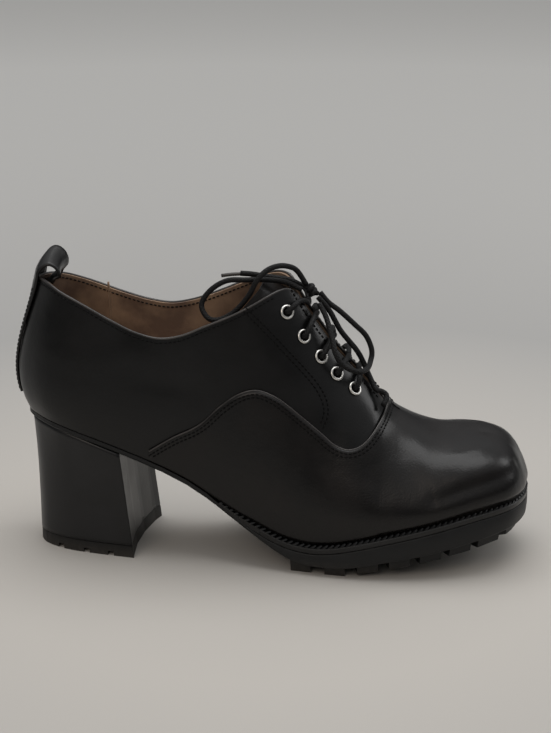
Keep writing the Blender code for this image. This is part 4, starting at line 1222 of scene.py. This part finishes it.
    def side_line(self, rows: Sequence[HeightRow], offset: float, step: float = 1.5) -> list[Any]:
        """A seam seen from the side, moved sideways by offset, below it where positive.

        Args:
            rows: Rows of the line as x and z.
            offset: Millimetres to the side of it.
            step: Millimetres between the points.

        Returns:
            The points as x and z.
        """
        z_of = curve_of(rows, "z") if rows[-1].x > rows[-2].x else None
        if z_of is None:
            line = smooth_route([(row.x, 0.0, row.z) for row in rows], 60)[:, (0, 2)]
        else:
            xs = np.arange(rows[0].x, rows[-1].x, 0.5)
            line = np.array([(x, z_of(x)) for x in xs])
        along = run_lengths(line)
        spots = np.arange(0.0, along[-1], step)
        line = np.column_stack([np.interp(spots, along, line[:, k]) for k in range(2)])
        steps = np.gradient(line, axis=0)
        steps /= np.linalg.norm(steps, axis=1)[:, None]
        return list(line + np.column_stack([steps[:, 1], -steps[:, 0]]) * offset)

    def on_side(self, side: int, line: Sequence[Any], lift: float) -> tuple[list[Any], list[Any]]:
        """Lay a line that is seen from the side on the leather.

        Args:
            side: -1 for the outer side, 1 for the inner side.
            line: Its points as x and z.
            lift: Millimetres off the last's surface.

        Returns:
            The points and the outward normals there.
        """
        points, normals = [], []
        for x, z in line:
            if z < self.last.feather_z(x) + self.feather_margin:
                continue
            point, normal = self.last.seen_from_side(side, x, z)
            points.append(point + (lift + self.last.relief(point)) * normal)
            normals.append(normal)
        return points, normals

    def build_seams(self) -> None:
        """Every row of stitches."""
        vamp_lift = self.vamp_gap + 0.85 * self.vamp_edge_rise + self.vamp_thick
        quarter_lift = 0.1
        spots = []
        for side in SIDES:
            for offset in (1.7, 3.3):
                points, normals = self.on_side(side, self.side_line(VAMP_SEAM, offset), vamp_lift)
                spots += stitch_spots(points, normals, self.stitch_pitch, 0.12)
            for offset in (0.0, 2.0):
                points, normals = self.on_side(side, self.side_line(FACING_SEAM, offset), quarter_lift)
                spots += stitch_spots(points, normals, self.stitch_pitch, 0.1)
            top = [
                (x, self.last.topline[side](x) - 1.9) for x in np.arange(9.0, THROAT_START_X + 3, 1.5)]
            for lift in (quarter_lift + 0.1, -self.wall - 0.2):
                points, normals = self.on_side(side, top, lift)
                spots += stitch_spots(points, normals, self.stitch_pitch, 0.0)
            points, normals = [], []
            for x in np.arange(132.0, 176.0, 1.5):
                t = self.last.section_at(side, x)
                points.append(self.last.over_throat(side, t, 7.4, quarter_lift))
                normals.append(self.last.over_throat(side, t, 7.4, quarter_lift + 1) - points[-1])
            spots += stitch_spots(points, normals, self.stitch_pitch, 0.1)
        # The stitches are darker than the calf: black thread with the painted shade of their holes.
        piece = self.shop.grains("seam_stitches", spots, self.stitch_length, self.thread_r, NYLON_THREAD_PAINTED_SHADE)
        self.shop.register(piece, NYLON_THREAD_PAINTED_SHADE)


@dataclass
class PullStrap:
    """The strip up the back of the shoe, folded into a pull loop and sewn inside."""

    shop: Workshop
    last: Last
    outer_zs: tuple[float, ...] = (76, 79, 82, 86, 90, 95, 100, 106, 112, 118, 124, 130)
    inner_zs: tuple[float, ...] = (129.0, 124.5, 120.0)
    low_half: float = 3.0
    spread: float = 0.105
    outer_gap: float = 0.45
    inner_gap: float = 2.9
    thick: float = 1.2
    loop_half: float = 9.0
    loop_tilt: float = 0.27
    heel_round: float = 13.0
    # x, height, how far the row follows the heel's roundness, how far its inner side leans up
    loop_rows: tuple[tuple[float, float, float, float], ...] = (
        (11.9, 135.0, 0.8, 0.1), (12.9, 138.6, 0.6, 0.6), (15.2, 141.7, 0.4, 1.0),
        (18.6, 143.4, 0.3, 1.0), (21.4, 142.0, 0.3, 1.0), (22.8, 139.2, 0.4, 0.9),
        (22.2, 137.0, 0.6, 0.5), (19.6, 135.6, 0.8, 0.1), (16.9, 132.6, 1.1, 0.0),
    )

    def counter_point(self, z: float, across: float, lift: float) -> np.ndarray:
        """A point at the back of the upper at height z, across from its middle.

        Args:
            z: Height.
            across: Millimetres from the middle line.
            lift: Millimetres off the last's surface.

        Returns:
            The point.
        """
        side = -1 if across < 0 else 1

        def on_surface(t: float, out: float) -> np.ndarray:
            """The surface point on section t at that height."""
            return self.last.skin(side, t, self.last.turn_where(side, t, lambda p: p[2] > z), out)

        low, high = LAST_END - 3.0, LAST_END
        for _ in range(22):
            middle = (low + high) / 2
            low, high = (middle, high) if abs(on_surface(middle, 0.0)[1]) > abs(across) else (low, middle)
        return on_surface((low + high) / 2, lift)

    def half_at(self, z: float) -> float:
        """Half of the strip's width at height z."""
        return self.low_half + self.spread * (z - self.outer_zs[0])

    def column(self, share: float) -> list[Any]:
        """The strip's points along one line from its foot outside to its end inside.

        Args:
            share: Place across the strip, from -1 to 1.

        Returns:
            The points.
        """
        points = [self.counter_point(z, self.half_at(z) * share, self.outer_gap) for z in self.outer_zs]
        for x, z, wrap, lean in self.loop_rows:
            across = self.loop_half * share
            bow = wrap * across**2 / (2 * self.heel_round)
            points.append(np.array([x + bow, across, z + self.loop_tilt * lean * across]))
        points += [self.counter_point(z, self.loop_half * share * 0.85, -self.inner_gap)
                   for z in self.inner_zs]
        return points

    def build(self) -> None:
        """Build the strap and the stitches along its edges."""
        columns = [smooth_route(self.column(share), 90) for share in np.linspace(-1.0, 1.0, 11)]
        grid = [list(row) for row in zip(*columns)]
        piece = self.shop.sheet("pull_strap", [grid], [STRAP_CALF])
        if sum(p.normal.x for p in piece.data.polygons[:40]) > 0:
            piece.data.flip_normals()
        self.shop.thicken(piece, self.thick, outward=True, lined=False)
        self.shop.register(piece, STRAP_CALF, "backstay")
        spots = []
        for share in (-0.78, 0.78):
            points, normals = [], []
            for z in np.linspace(self.outer_zs[0] + 1, self.outer_zs[-1], 20):
                across = self.half_at(z) * share
                point = self.counter_point(z, across, self.outer_gap + self.thick)
                points.append(point)
                normals.append(self.counter_point(z, across, self.outer_gap + self.thick + 1) - point)
            spots += stitch_spots(points, normals, 2.3, 0.1)
        # These stitches also carry the painted shade of their holes in their dark colour.
        stitches = self.shop.grains("strap_stitches", spots, 1.75, 0.3, NYLON_THREAD_PAINTED_SHADE)
        self.shop.register(stitches, NYLON_THREAD_PAINTED_SHADE)


@dataclass
class Lacing:
    """Eyelets, the lace through them, and the bow."""

    shop: Workshop
    uppers: Uppers
    lace_r: float = 1.3
    lace_step: float = 1.2
    knot_turns: float = 2.6
    knot_wind_r: float = 1.45
    knot_pitch: float = 2.1
    knot_lace_r: float = 1.2
    tip_r: float = 0.85
    # Height of a crossing above the middle of the throat, by the eyelet row it starts from
    arches: tuple[tuple[int, float], ...] = ((1, 1.0), (2, 1.6), (3, 0.6))
    knot_centre: tuple[float, ...] = (143.9, 0.0, 130.3)
    knot_axis: tuple[float, ...] = (0.53, 0.0, -0.848)
    loop_back: Route = (
        (141.3, -0.1, 133.0), (137.5, -2.0, 139.7), (134.2, -4.0, 142.4), (129.0, -6.5, 143.4),
        (123.4, -9.5, 141.7), (119.0, -12.0, 137.1), (115.1, -12.5, 129.8), (108.8, -12.8, 122.4),
        (101.8, -13.5, 118.4), (96.1, -13.2, 118.9), (92.7, -10.5, 124.5), (96.6, -9.0, 131.1),
        (104.4, -8.0, 135.9), (113.7, -7.0, 136.3), (123.7, -5.0, 136.1), (132.2, -4.2, 134.9),
        (139.7, -4.2, 131.6),
    )
    loop_front: Route = (
        (147.7, 3.2, 128.4), (151.8, 3.0, 123.6), (157.3, 3.0, 119.5), (164.7, 3.0, 112.8),
        (169.9, 3.0, 107.6), (172.8, 2.0, 100.9), (172.4, -0.5, 96.1), (171.2, -8.0, 94.6),
        (167.4, -16.0, 95.6), (160.9, -17.5, 98.7), (157.1, -17.5, 104.0), (154.6, -13.0, 111.4),
        (151.4, -7.0, 119.3), (147.8, -3.6, 124.8),
    )
    end_back: Route = (
        (139.6, 2.3, 131.3), (137.2, 1.0, 133.2), (132.6, 0.3, 135.1), (126.4, 0.3, 135.9),
        (120.2, 0.5, 136.6), (115.1, 1.0, 137.1), (109.9, 1.0, 137.3),
    )
    end_front: Route = (
        (147.0, -0.3, 127.1), (152.5, -0.3, 120.5), (158.1, -0.3, 110.6), (165.6, 0.0, 101.3),
        (169.2, 0.0, 94.8), (171.4, -1.5, 90.3), (173.4, -3.5, 86.8), (175.5, -6.0, 83.7),
        (177.9, -6.2, 83.1), (180.4, -6.5, 81.7), (180.7, -8.2, 79.9), (179.2, -10.8, 77.4),
    )
    tip_back: Route = ((111.6, 1.0, 137.2), (105.1, 1.0, 136.6), (100.8, 1.0, 135.9))

    def build(self) -> None:
        """Build the eyelets, the crossings and the bow."""
        self.build_eyelets()
        self.build_crossings()
        self.build_bow()

    def build_eyelets(self) -> None:
        """Ten pressed metal eyelets with rolled flanges."""
        up = self.uppers
        low, seat = 0.05 - up.wall, 0.35
        profile = [(up.eyelet_hole_r, low), (up.eyelet_hole_r, seat - 0.1)]
        roll = (up.eyelet_flange_r - up.eyelet_hole_r) / 2
        middle = (up.eyelet_flange_r + up.eyelet_hole_r) / 2
        for angle in np.linspace(math.pi, 0.0, 9):
            profile.append((middle + roll * math.cos(angle), seat + 0.6 * math.sin(angle)))
        profile += [(up.eyelet_barrel_r, seat - 0.05), (up.eyelet_barrel_r, low)]
        for side, place in ((Side.OUTER, "outer"), (Side.INNER, "inner")):
            for row, x in enumerate(up.eyelet_xs, start=1):
                centre, axis = up.eyelet_frame(side, x)
                piece = self.turned(f"eyelet_ring_{place}_{row}", centre, axis, profile, 32)
                self.shop.register(piece, NICKEL_PLATE, f"eyelet_{place}_{row}")

    def turned(self, name: str, centre: Any, axis: Any, profile: Sequence[Any], sides: int) -> Any:
        """A closed ring turned round an axis: profile rows are radius and height.

        Args:
            name: The object's name.
            centre: The middle of the ring.
            axis: The direction that it is turned round.
            profile: Radius and height of each row.
            sides: Corners round the ring.

        Returns:
            The new object.
        """
        axis = Vector(axis).normalized()
        first = axis.orthogonal().normalized()
        second = axis.cross(first)
        points = []
        for radius, height in profile:
            for i in range(sides):
                angle = 2 * math.pi * i / sides
                spoke = first * (radius * math.cos(angle)) + second * (radius * math.sin(angle))
                points.append(tuple(Vector(centre) + spoke + axis * height))
        levels = len(profile)
        faces = [
            (r * sides + i, r * sides + (i + 1) % sides,
             (r + 1) % levels * sides + (i + 1) % sides, (r + 1) % levels * sides + i)
            for r in range(levels) for i in range(sides)
        ]
        return self.shop.add(name, self.shop.mesh(name, points, faces), [NICKEL_PLATE])

    def crossing(self, side: int, row: int, arch: float) -> np.ndarray:
        """A strand from an eyelet over the facing, into the throat beside the next row.

        Args:
            side: -1 for the outer side, 1 for the inner side.
            row: Number of its eyelet, from 0 at the top.
            arch: Millimetres above the last over the middle line.

        Returns:
            The points of the strand.
        """
        up, last = self.uppers, self.uppers.last
        x, next_x = up.eyelet_xs[row], up.eyelet_xs[row + 1]
        steps = (
            (side, 0.0, up.eyelet_across, 0.3), (side, 0.01, up.eyelet_across - 0.3, 1.8),
            (side, 0.1, 11.6, 3.0), (side, 0.2, 9.0, 2.9), (side, 0.34, 5.6, 2.2),
            (side, 0.5, 0.0, arch), (-side, 0.58, 2.9, -0.65),
        )
        route = [
            last.over_throat(place, last.section_at(place, x + (next_x - x) * share), across, lift)
            for place, share, across, lift in steps
        ]
        return smooth_route(route, 40)

    def bar(self, x: float, bow_x: float, middle_lift: float) -> np.ndarray:
        """A strand across the throat from one eyelet to the eyelet opposite.

        Args:
            x: Place of its eyelets along the shoe.
            bow_x: Place of its middle along the shoe.
            middle_lift: Millimetres above the last over the middle line.

        Returns:
            The points of the strand.
        """
        up, last = self.uppers, self.uppers.last
        steps = (
            (0.0, up.eyelet_across, 0.3), (0.02, up.eyelet_across - 0.3, 1.8),
            (0.2, 11.6, 3.0), (0.4, 9.0, 2.8), (0.7, 5.4, 2.1), (1.0, 0.0, middle_lift),
        )
        halves = [
            [last.over_throat(side, last.section_at(side, x + (bow_x - x) * share), across, lift)
             for share, across, lift in steps]
            for side in SIDES
        ]
        return smooth_route(halves[0] + halves[1][-2::-1], 70)

    def build_crossings(self) -> None:
        """The lace where it crosses the throat: three crosses and two bars."""
        for row, arch in self.arches:
            strands = [
                self.shop.tube("strand", self.crossing(side, row, arch), self.lace_r, WAXED_COTTON, 14)
                for side in SIDES
            ]
            piece = self.shop.join(f"cross_strands_{row + 1}", strands)
            self.shop.register(piece, WAXED_COTTON, f"lace_cross_{row + 1}")
        xs = self.uppers.eyelet_xs
        for name, node, route in (
            ("top_strand", "lace_top_bar", self.bar(xs[0], 142.0, 0.3)),
            ("low_strand", "lace_low_bar", self.bar(xs[-1], 165.8, 0.4)),
        ):
            piece = self.shop.tube(name, route, self.lace_r, WAXED_COTTON, 14)
            self.shop.register(piece, WAXED_COTTON, node)

    def build_bow(self) -> None:
        """The knot, the aglet, and the free lengths of lace."""
        self.build_knot()
        # The aglet shares the pale edge finish, whose paler colour is a painted highlight.
        tip = self.shop.tube("lace_aglet", smooth_route(self.tip_back, 12), self.tip_r, FOLDED_EDGE_PAINTED_HIGHLIGHT, 14)
        self.shop.register(tip, WAXED_COTTON, "lace_tip_back")
        self.free_lace("bow_loop_back", "lace_loop_back", self.loop_back)
        self.free_lace("bow_loop_front", "lace_loop_front", self.loop_front)
        self.free_lace("bow_end_back", "lace_end_back", self.end_back)
        self.free_lace("bow_end_front", "lace_end_front", self.end_front)

    def build_knot(self) -> None:
        """The knot: the lace wound nearly three times round the bow's middle."""
        axis = Vector(self.knot_axis).normalized()
        first = axis.orthogonal().normalized()
        second = axis.cross(first)
        path = []
        for turn in np.linspace(0.0, self.knot_turns, 60):
            angle = 2 * math.pi * turn
            spoke = first * math.cos(angle) * self.knot_wind_r + second * math.sin(angle) * self.knot_wind_r
            rise = axis * (turn - self.knot_turns / 2) * self.knot_pitch
            path.append(tuple(Vector(self.knot_centre) + rise + spoke))
        piece = self.shop.tube("bow_knot", np.array(path), self.knot_lace_r, WAXED_COTTON, 14)
        self.shop.register(piece, WAXED_COTTON, "lace_knot")

    def free_lace(self, name: str, node: str, route: Route) -> None:
        """Args:
            name: The piece's name.
            node: The node that it stands for.
            route: Its points in the last's axes.
        """
        length = run_lengths(np.asarray(route, float))[-1]
        path = smooth_route(route, max(12, round(length / self.lace_step)))
        piece = self.shop.tube(name, path, self.lace_r, WAXED_COTTON, 14)
        self.shop.register(piece, WAXED_COTTON, node)


@dataclass
class Bottom:
    """The sole, welt, heel and insole, which keep their solids, and the ribs on the welt."""

    shop: Workshop
    last: Last
    nodes: dict[str, Any]
    rib_pitch: float = 2.9
    breast_foot_x: float = 58.9
    breast_lean: float = 6.1 / 55.0
    breast_hollow_r: float = 118.0
    breast_turn_y: float = 9.26
    heel_foot_z: float = 6.35
    seat_flare: float = 3.2
    seat_sink: float = 0.35
    skin_lift: float = 0.12
    welt_start_x: float = 104.0

    def __post_init__(self) -> None:
        """Set the curves of the heel's plan."""
        places = range(len(HEEL_PLAN))
        self.heel_curves = [
            curve_through(places, [getattr(row, name) for row in HEEL_PLAN]) for name in HeelRow._fields]

    def build(self) -> None:
        """Dress the solids that stay and add the ribs."""
        for node, finish in (
            ("outsole", SOLE_RUBBER), ("welt", WELT_RUBBER), ("heel", HEEL_LACQUER),
            ("heel_top_piece", TOP_PIECE_RUBBER), ("insole", BROWN_LINING),
        ):
            self.dress(node, finish)
        self.build_ribs()
        self.build_sole_edge()
        self.build_welt_edge()
        self.build_heel_wrap()

    def dress(self, node: str, finish: Finish) -> None:
        """Give a solid that stays its finish."""
        for place in self.nodes[node].material_slots:
            place.material = self.shop.materials[finish.name]
        log.info("%s: dressed in %s", node, finish.name)

    def rib_line(self, offset: float, height: float) -> np.ndarray:
        """A line along the welt round the forefoot.

        Args:
            offset: Millimetres inwards from the sole's edge.
            height: Height above the feather line.

        Returns:
            The points of the line.
        """
        points = []
        for side, order in ((Side.OUTER, -1), (Side.INNER, 1)):
            end = self.last.section_at(side, self.welt_start_x)
            sections = np.concatenate([np.linspace(0.0, 4.0, 60), np.linspace(4.0, end, 120)[1:]])
            half = []
            for t in sections:
                x = self.last.foot(side, t)[0]
                place = self.last.rim(side, t, self.last.sole_reach(x) - offset)
                half.append((place[0], place[1], self.last.feather_z(place[0]) + height))
            points += half[::order]
        return np.array(points)

    def band(self, name: str, start_x: float, profile: Sequence[Any], finish: Finish) -> None:
        """Skin the edge of the sole or welt with a smooth band.

        Args:
            name: The piece's name.
            start_x: Where the band starts on each side; 0 takes it round the heel.
            profile: Rows of a height function and the offset from the sole's edge.
            finish: Its finish.
        """
        path = []
        for side, order in ((Side.OUTER, -1), (Side.INNER, 1)):
            end = self.last.section_at(side, start_x) if start_x else LAST_END - 0.02
            sections = np.concatenate([
                np.linspace(0.0, 4.0, 61), np.linspace(4.0, min(end, 22.0), 120)[1:],
                np.linspace(22.0, end, 40)[1:] if end > 22.0 else []])
            path += [(side, t) for t in sections][::order]
        grid = []
        for side, t in path:
            row = []
            for height, offset in profile:
                place = self.last.rim(side, t, self.last.sole_reach(self.last.foot(side, t)[0]) + offset)
                row.append((place[0], place[1], height(place[0])))
            grid.append(row)
        piece = self.shop.sheet(name, [grid], [finish])
        self.shop.thicken(piece, 0.35, outward=False, lined=False)
        self.shop.register(piece, finish)

    def build_sole_edge(self) -> None:
        """A smooth skin on the sole's edge, with its rounded lower corner."""
        last = self.last

        def top(x: float) -> float:
            """Height of the sole's upper edge."""
            welt = 3.3 if x > 122 else 0.35 + 2.95 * max(0.0, (x - 102.0) / 20.0)
            return last.feather_z(x) - welt

        profile = (
            (lambda x: last.sole_edge_z(x) - 0.12, -1.6), (lambda x: last.sole_edge_z(x) - 0.1, -0.8),
            (lambda x: last.sole_edge_z(x) + 0.25, -0.12), (lambda x: last.sole_edge_z(x) + 0.8, 0.13),
            (lambda x: top(x) - 0.5, 0.13), (lambda x: top(x) - 0.1, -0.1),
        )
        self.band("sole_edge_skin", 104.0, profile, SOLE_RUBBER)

    def build_welt_edge(self) -> None:
        """A smooth skin on the welt's edge."""
        last = self.last
        profile = (
            (lambda x: last.feather_z(x) - 2.9, 0.0), (lambda x: last.feather_z(x) - 2.6, 0.14),
            (lambda x: last.feather_z(x) - 0.7, 0.14), (lambda x: last.feather_z(x) - 0.25, -0.25),
            (lambda x: last.feather_z(x) - 0.22, -0.7),
        )
        self.band("welt_edge_skin", 123.0, profile, WELT_RUBBER)

    def breast_x(self, y: float, z: float) -> float:
        """Where the heel's hollow front face is, at y and height z."""
        radius = self.breast_hollow_r
        hollow = radius - math.sqrt(radius**2 - (y + self.breast_turn_y) ** 2)
        return self.breast_foot_x - self.breast_lean * z + hollow

    def heel_plan(self, place: float, share: float) -> np.ndarray:
        """Half plan of the heel, from the breast (0) to the back; share is 1 at the seat."""
        blend = share**self.seat_flare
        seat_x, seat_y, foot_x, foot_y = (curve(place) for curve in self.heel_curves)
        return np.array([foot_x + (seat_x - foot_x) * blend, foot_y + (seat_y - foot_y) * blend])

    def heel_z(self, x: float, share: float) -> float:
        """Height of the heel's skin at x."""
        return self.heel_foot_z + (self.last.sole_edge_z(x) - self.seat_sink - self.heel_foot_z) * share

    def corner_place(self, side: int, share: float) -> float:
        """Where round the heel its side meets the breast.

        Args:
            side: -1 for the outer side, 1 for the inner side.
            share: Height as a share, from the foot at 0 to the seat at 1.

        Returns:
            The place on the heel's plan.
        """
        low, high = 0.0, len(HEEL_PLAN) - 1.0
        for _ in range(24):
            middle = (low + high) / 2
            x, y = self.heel_plan(middle, share)
            beyond = x > self.breast_x(side * y, self.heel_z(x, share)) - 0.1
            low, high = (middle, high) if beyond else (low, middle)
        return low

    def heel_side(self, side: int, share: float) -> list[tuple[float, float, float]]:
        """One level of the heel's skin, from the breast's corner to the middle of the back.

        Args:
            side: -1 for the outer side, 1 for the inner side.
            share: Height as a share, from the foot at 0 to the seat at 1.

        Returns:
            The points of the level.
        """
        last_place = len(HEEL_PLAN) - 1.0
        row = []
        for place in np.linspace(self.corner_place(side, share), last_place, 48):
            run = self.heel_plan(place + 0.03, share) - self.heel_plan(max(place - 0.03, 0.0), share)
            if place > last_place - 0.1:
                run = np.array([0.0, -1.0])
            out = np.array([run[1], -run[0]]) / max(np.linalg.norm(run), 1e-9)
            x, y = self.heel_plan(place, share) + out * self.skin_lift
            row.append((x, side * y, self.heel_z(x, share)))
        return row

    def build_heel_wrap(self) -> None:
        """The heel's smooth cover: round its sides and back, and over its hollow breast."""
        around, breast = [], []
        for share in np.linspace(0.0, 1.0, 25):
            outer, inner = self.heel_side(Side.OUTER, share), self.heel_side(Side.INNER, share)
            around.append(outer + inner[-2::-1])
            row = []
            for y in np.linspace(outer[0][1] + 0.1, inner[0][1] - 0.1, 33):
                z = self.heel_z(outer[0][0], share)
                x = self.breast_x(y, z) + self.skin_lift
                row.append((x, y, self.heel_z(x, share)))
            breast.append(row)
        for name, grid in (("heel_wrap", around), ("heel_breast", breast)):
            piece = self.shop.sheet(name, [grid], [HEEL_LACQUER])
            if name == "heel_breast" and sum(p.normal.x for p in piece.data.polygons) < 0:
                piece.data.flip_normals()
            self.shop.thicken(piece, 0.3, outward=False, lined=False)
            self.shop.register(piece, HEEL_LACQUER)

    def build_ribs(self) -> None:
        """Short moulded ribs across the welt's upper corner, like heavy stitches."""
        line = self.rib_line(1.1, -0.1)
        along = run_lengths(line)
        spots = []
        for place in np.arange(0.0, along[-1], self.rib_pitch):
            centre, ahead = (
                np.array([np.interp(min(where, along[-1]), along, line[:, k]) for k in range(3)])
                for where in (place, place + 0.5)
            )
            run = ahead - centre
            if np.linalg.norm(run) < 1e-6:
                continue
            out = np.array([run[1], -run[0], 0.0])
            lean = run / np.linalg.norm(run) * 0.75 - out / np.linalg.norm(out) * 0.5
            lean[2] += 0.45
            spots.append((centre, lean, np.array([0.0, 0.0, 1.0])))
        piece = self.shop.grains("welt_ribs", spots, 3.8, 0.8, WELT_RUBBER, 1.1)
        self.shop.register(piece, WELT_RUBBER)


@dataclass
class Studio:
    """Floor, light and camera."""

    camera_place: tuple[float, ...] = (0.08738, -0.81468, 0.35671)
    camera_down: float = 72.0
    camera_turn: float = 6.0
    focal_px: float = 1782.0
    photo_height_px: float = 733.0
    sensor: float = 36.0
    floor_radius: float = 60.0

    def build(self) -> None:
        """Set up everything round the shoe."""
        self.build_camera()
        self.build_floor()
        self.build_lights()

    def build_camera(self) -> None:
        """The camera at the photograph's place."""
        data = bpy.data.cameras.new("camera")
        data.sensor_width = self.sensor
        data.lens = self.focal_px * self.sensor / self.photo_height_px
        made = bpy.data.objects.new("camera", data)
        made.location = self.camera_place
        made.rotation_euler = (math.radians(self.camera_down), 0.0, math.radians(self.camera_turn))
        bpy.context.scene.collection.objects.link(made)
        bpy.context.scene.camera = made

    def build_floor(self) -> None:
        """A wide pale floor, its colour made lighter and darker by distance from the shoe as painted light
        and shade of a lit paper sweep.
        """
        rings, sides = 60, 96
        points, faces = [(0.0, 0.0, 0.0)], []
        for r in range(1, rings + 1):
            radius = self.floor_radius * (r / rings) ** 4
            points += [
                (radius * math.cos(2 * math.pi * i / sides), radius * math.sin(2 * math.pi * i / sides), 0.0)
                for i in range(sides)
            ]
        faces += [(0, 1 + i, 1 + (i + 1) % sides) for i in range(sides)]
        for r in range(rings - 1):
            low, high = 1 + r * sides, 1 + (r + 1) * sides
            faces += [
                (low + i, high + i, high + (i + 1) % sides, low + (i + 1) % sides)
                for i in range(sides)
            ]
        mesh = bpy.data.meshes.new("floor")
        mesh.from_pydata(points, [], faces)
        floor = bpy.data.objects.new("floor", mesh)
        bpy.context.scene.collection.objects.link(floor)
        mesh.materials.append(self.floor_material())

    def floor_material(self) -> Any:
        """Matt paper with painted light and shade: warm pale grey by the shoe, darkest about 0.4 m out,
        cooler and palest 1.6 m off and beyond.
        """
        made = bpy.data.materials.new("paper_sweep_painted_light")
        made.use_nodes = True
        tree = made.node_tree
        places = add_node(tree, "ShaderNodeTexCoord", {}, {})
        away = add_node(
            tree, "ShaderNodeVectorMath", {"operation": "LENGTH"}, {0: places.outputs["Object"]})
        share = add_node(
            tree, "ShaderNodeMapRange", {":From Min": 0.15, ":From Max": 1.6},
            {"Value": away.outputs["Value"]})
        # Painted light and shade: the ramp darkens a ring round the shoe and pales far off, like a lit
        # backdrop.
        ramp = add_node(tree, "ShaderNodeValToRGB", {}, {"Fac": share.outputs[0]})
        ramp.color_ramp.elements[0].color = linear("#bdb9b3")
        ramp.color_ramp.elements[1].color = linear("#d0cfcc")
        middle = ramp.color_ramp.elements.new(0.16)
        middle.color = linear("#a6a5a3")
        shader = tree.nodes["Principled BSDF"]
        shader.inputs["Roughness"].default_value = 0.85
        tree.links.new(ramp.outputs["Color"], shader.inputs["Base Color"])
        return made

    def soft_box(self, name: str, place: Point, aim: Point, width: float, height: float, watts: float,
                 colour: str = "#ffffff") -> None:
        """Add one rectangular soft light that points at a place on the shoe.

        Args:
            name: The light's name.
            place: Where it stands, in metres.
            aim: What it points at, in metres.
            width: Metres.
            height: Metres.
            watts: Its power.
            colour: Its sRGB hex colour.
        """
        data = bpy.data.lights.new(name, "AREA")
        data.shape = "RECTANGLE"
        data.size, data.size_y = width, height
        data.energy = watts
        data.color = linear(colour)[:3]
        made = bpy.data.objects.new(name, data)
        made.location = place
        made.rotation_euler = (Vector(aim) - Vector(place)).to_track_quat("-Z", "Y").to_euler()
        bpy.context.scene.collection.objects.link(made)

    def build_lights(self) -> None:
        """A large box overhead, a window in front and a weaker one behind the toe."""
        self.soft_box("overhead_box", (0.1, 0.2, 1.7), (0.0, 0.0, 0.05), 1.8, 1.2, 16.0)
        self.soft_box("front_window", (-0.5, -1.4, 1.1), (0.0, 0.0, 0.06), 0.9, 0.7, 4.0, "#ffeedd")
        self.soft_box("toe_window", (1.3, 0.5, 0.8), (0.1, 0.0, 0.05), 0.5, 0.7, 3.0)
        world = bpy.data.worlds.new("room")
        world.use_nodes = True
        tree = world.node_tree
        back = tree.nodes["Background"]
        back.inputs["Strength"].default_value = 0.8
        looks = add_node(tree, "ShaderNodeTexCoord", {}, {})
        split = add_node(tree, "ShaderNodeSeparateXYZ", {}, {"Vector": looks.outputs["Generated"]})
        rise = add_node(
            tree, "ShaderNodeMapRange", {":From Min": 0.1, ":From Max": 0.75}, {"Value": split.outputs["Z"]})
        ramp = add_node(tree, "ShaderNodeValToRGB", {}, {"Fac": rise.outputs[0]})
        ramp.color_ramp.elements[0].color = linear("#333335")
        ramp.color_ramp.elements[1].color = linear("#dcdcdc")
        tree.links.new(ramp.outputs["Color"], back.inputs["Color"])
        bpy.context.scene.world = world


def main() -> None:
    """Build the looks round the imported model."""
    logging.basicConfig(level=logging.INFO, format="%(name)s: %(message)s")
    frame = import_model()
    bpy.context.scene.view_settings.view_transform = "Standard"
    Studio().build()
    shop = Workshop()
    last = Last()
    uppers = Uppers(shop, last)
    Lacing(shop, uppers).build()
    uppers.build()
    PullStrap(shop, last).build()
    Bottom(shop, last, frame["nodes"]).build()


if __name__ == "__main__":
    main()
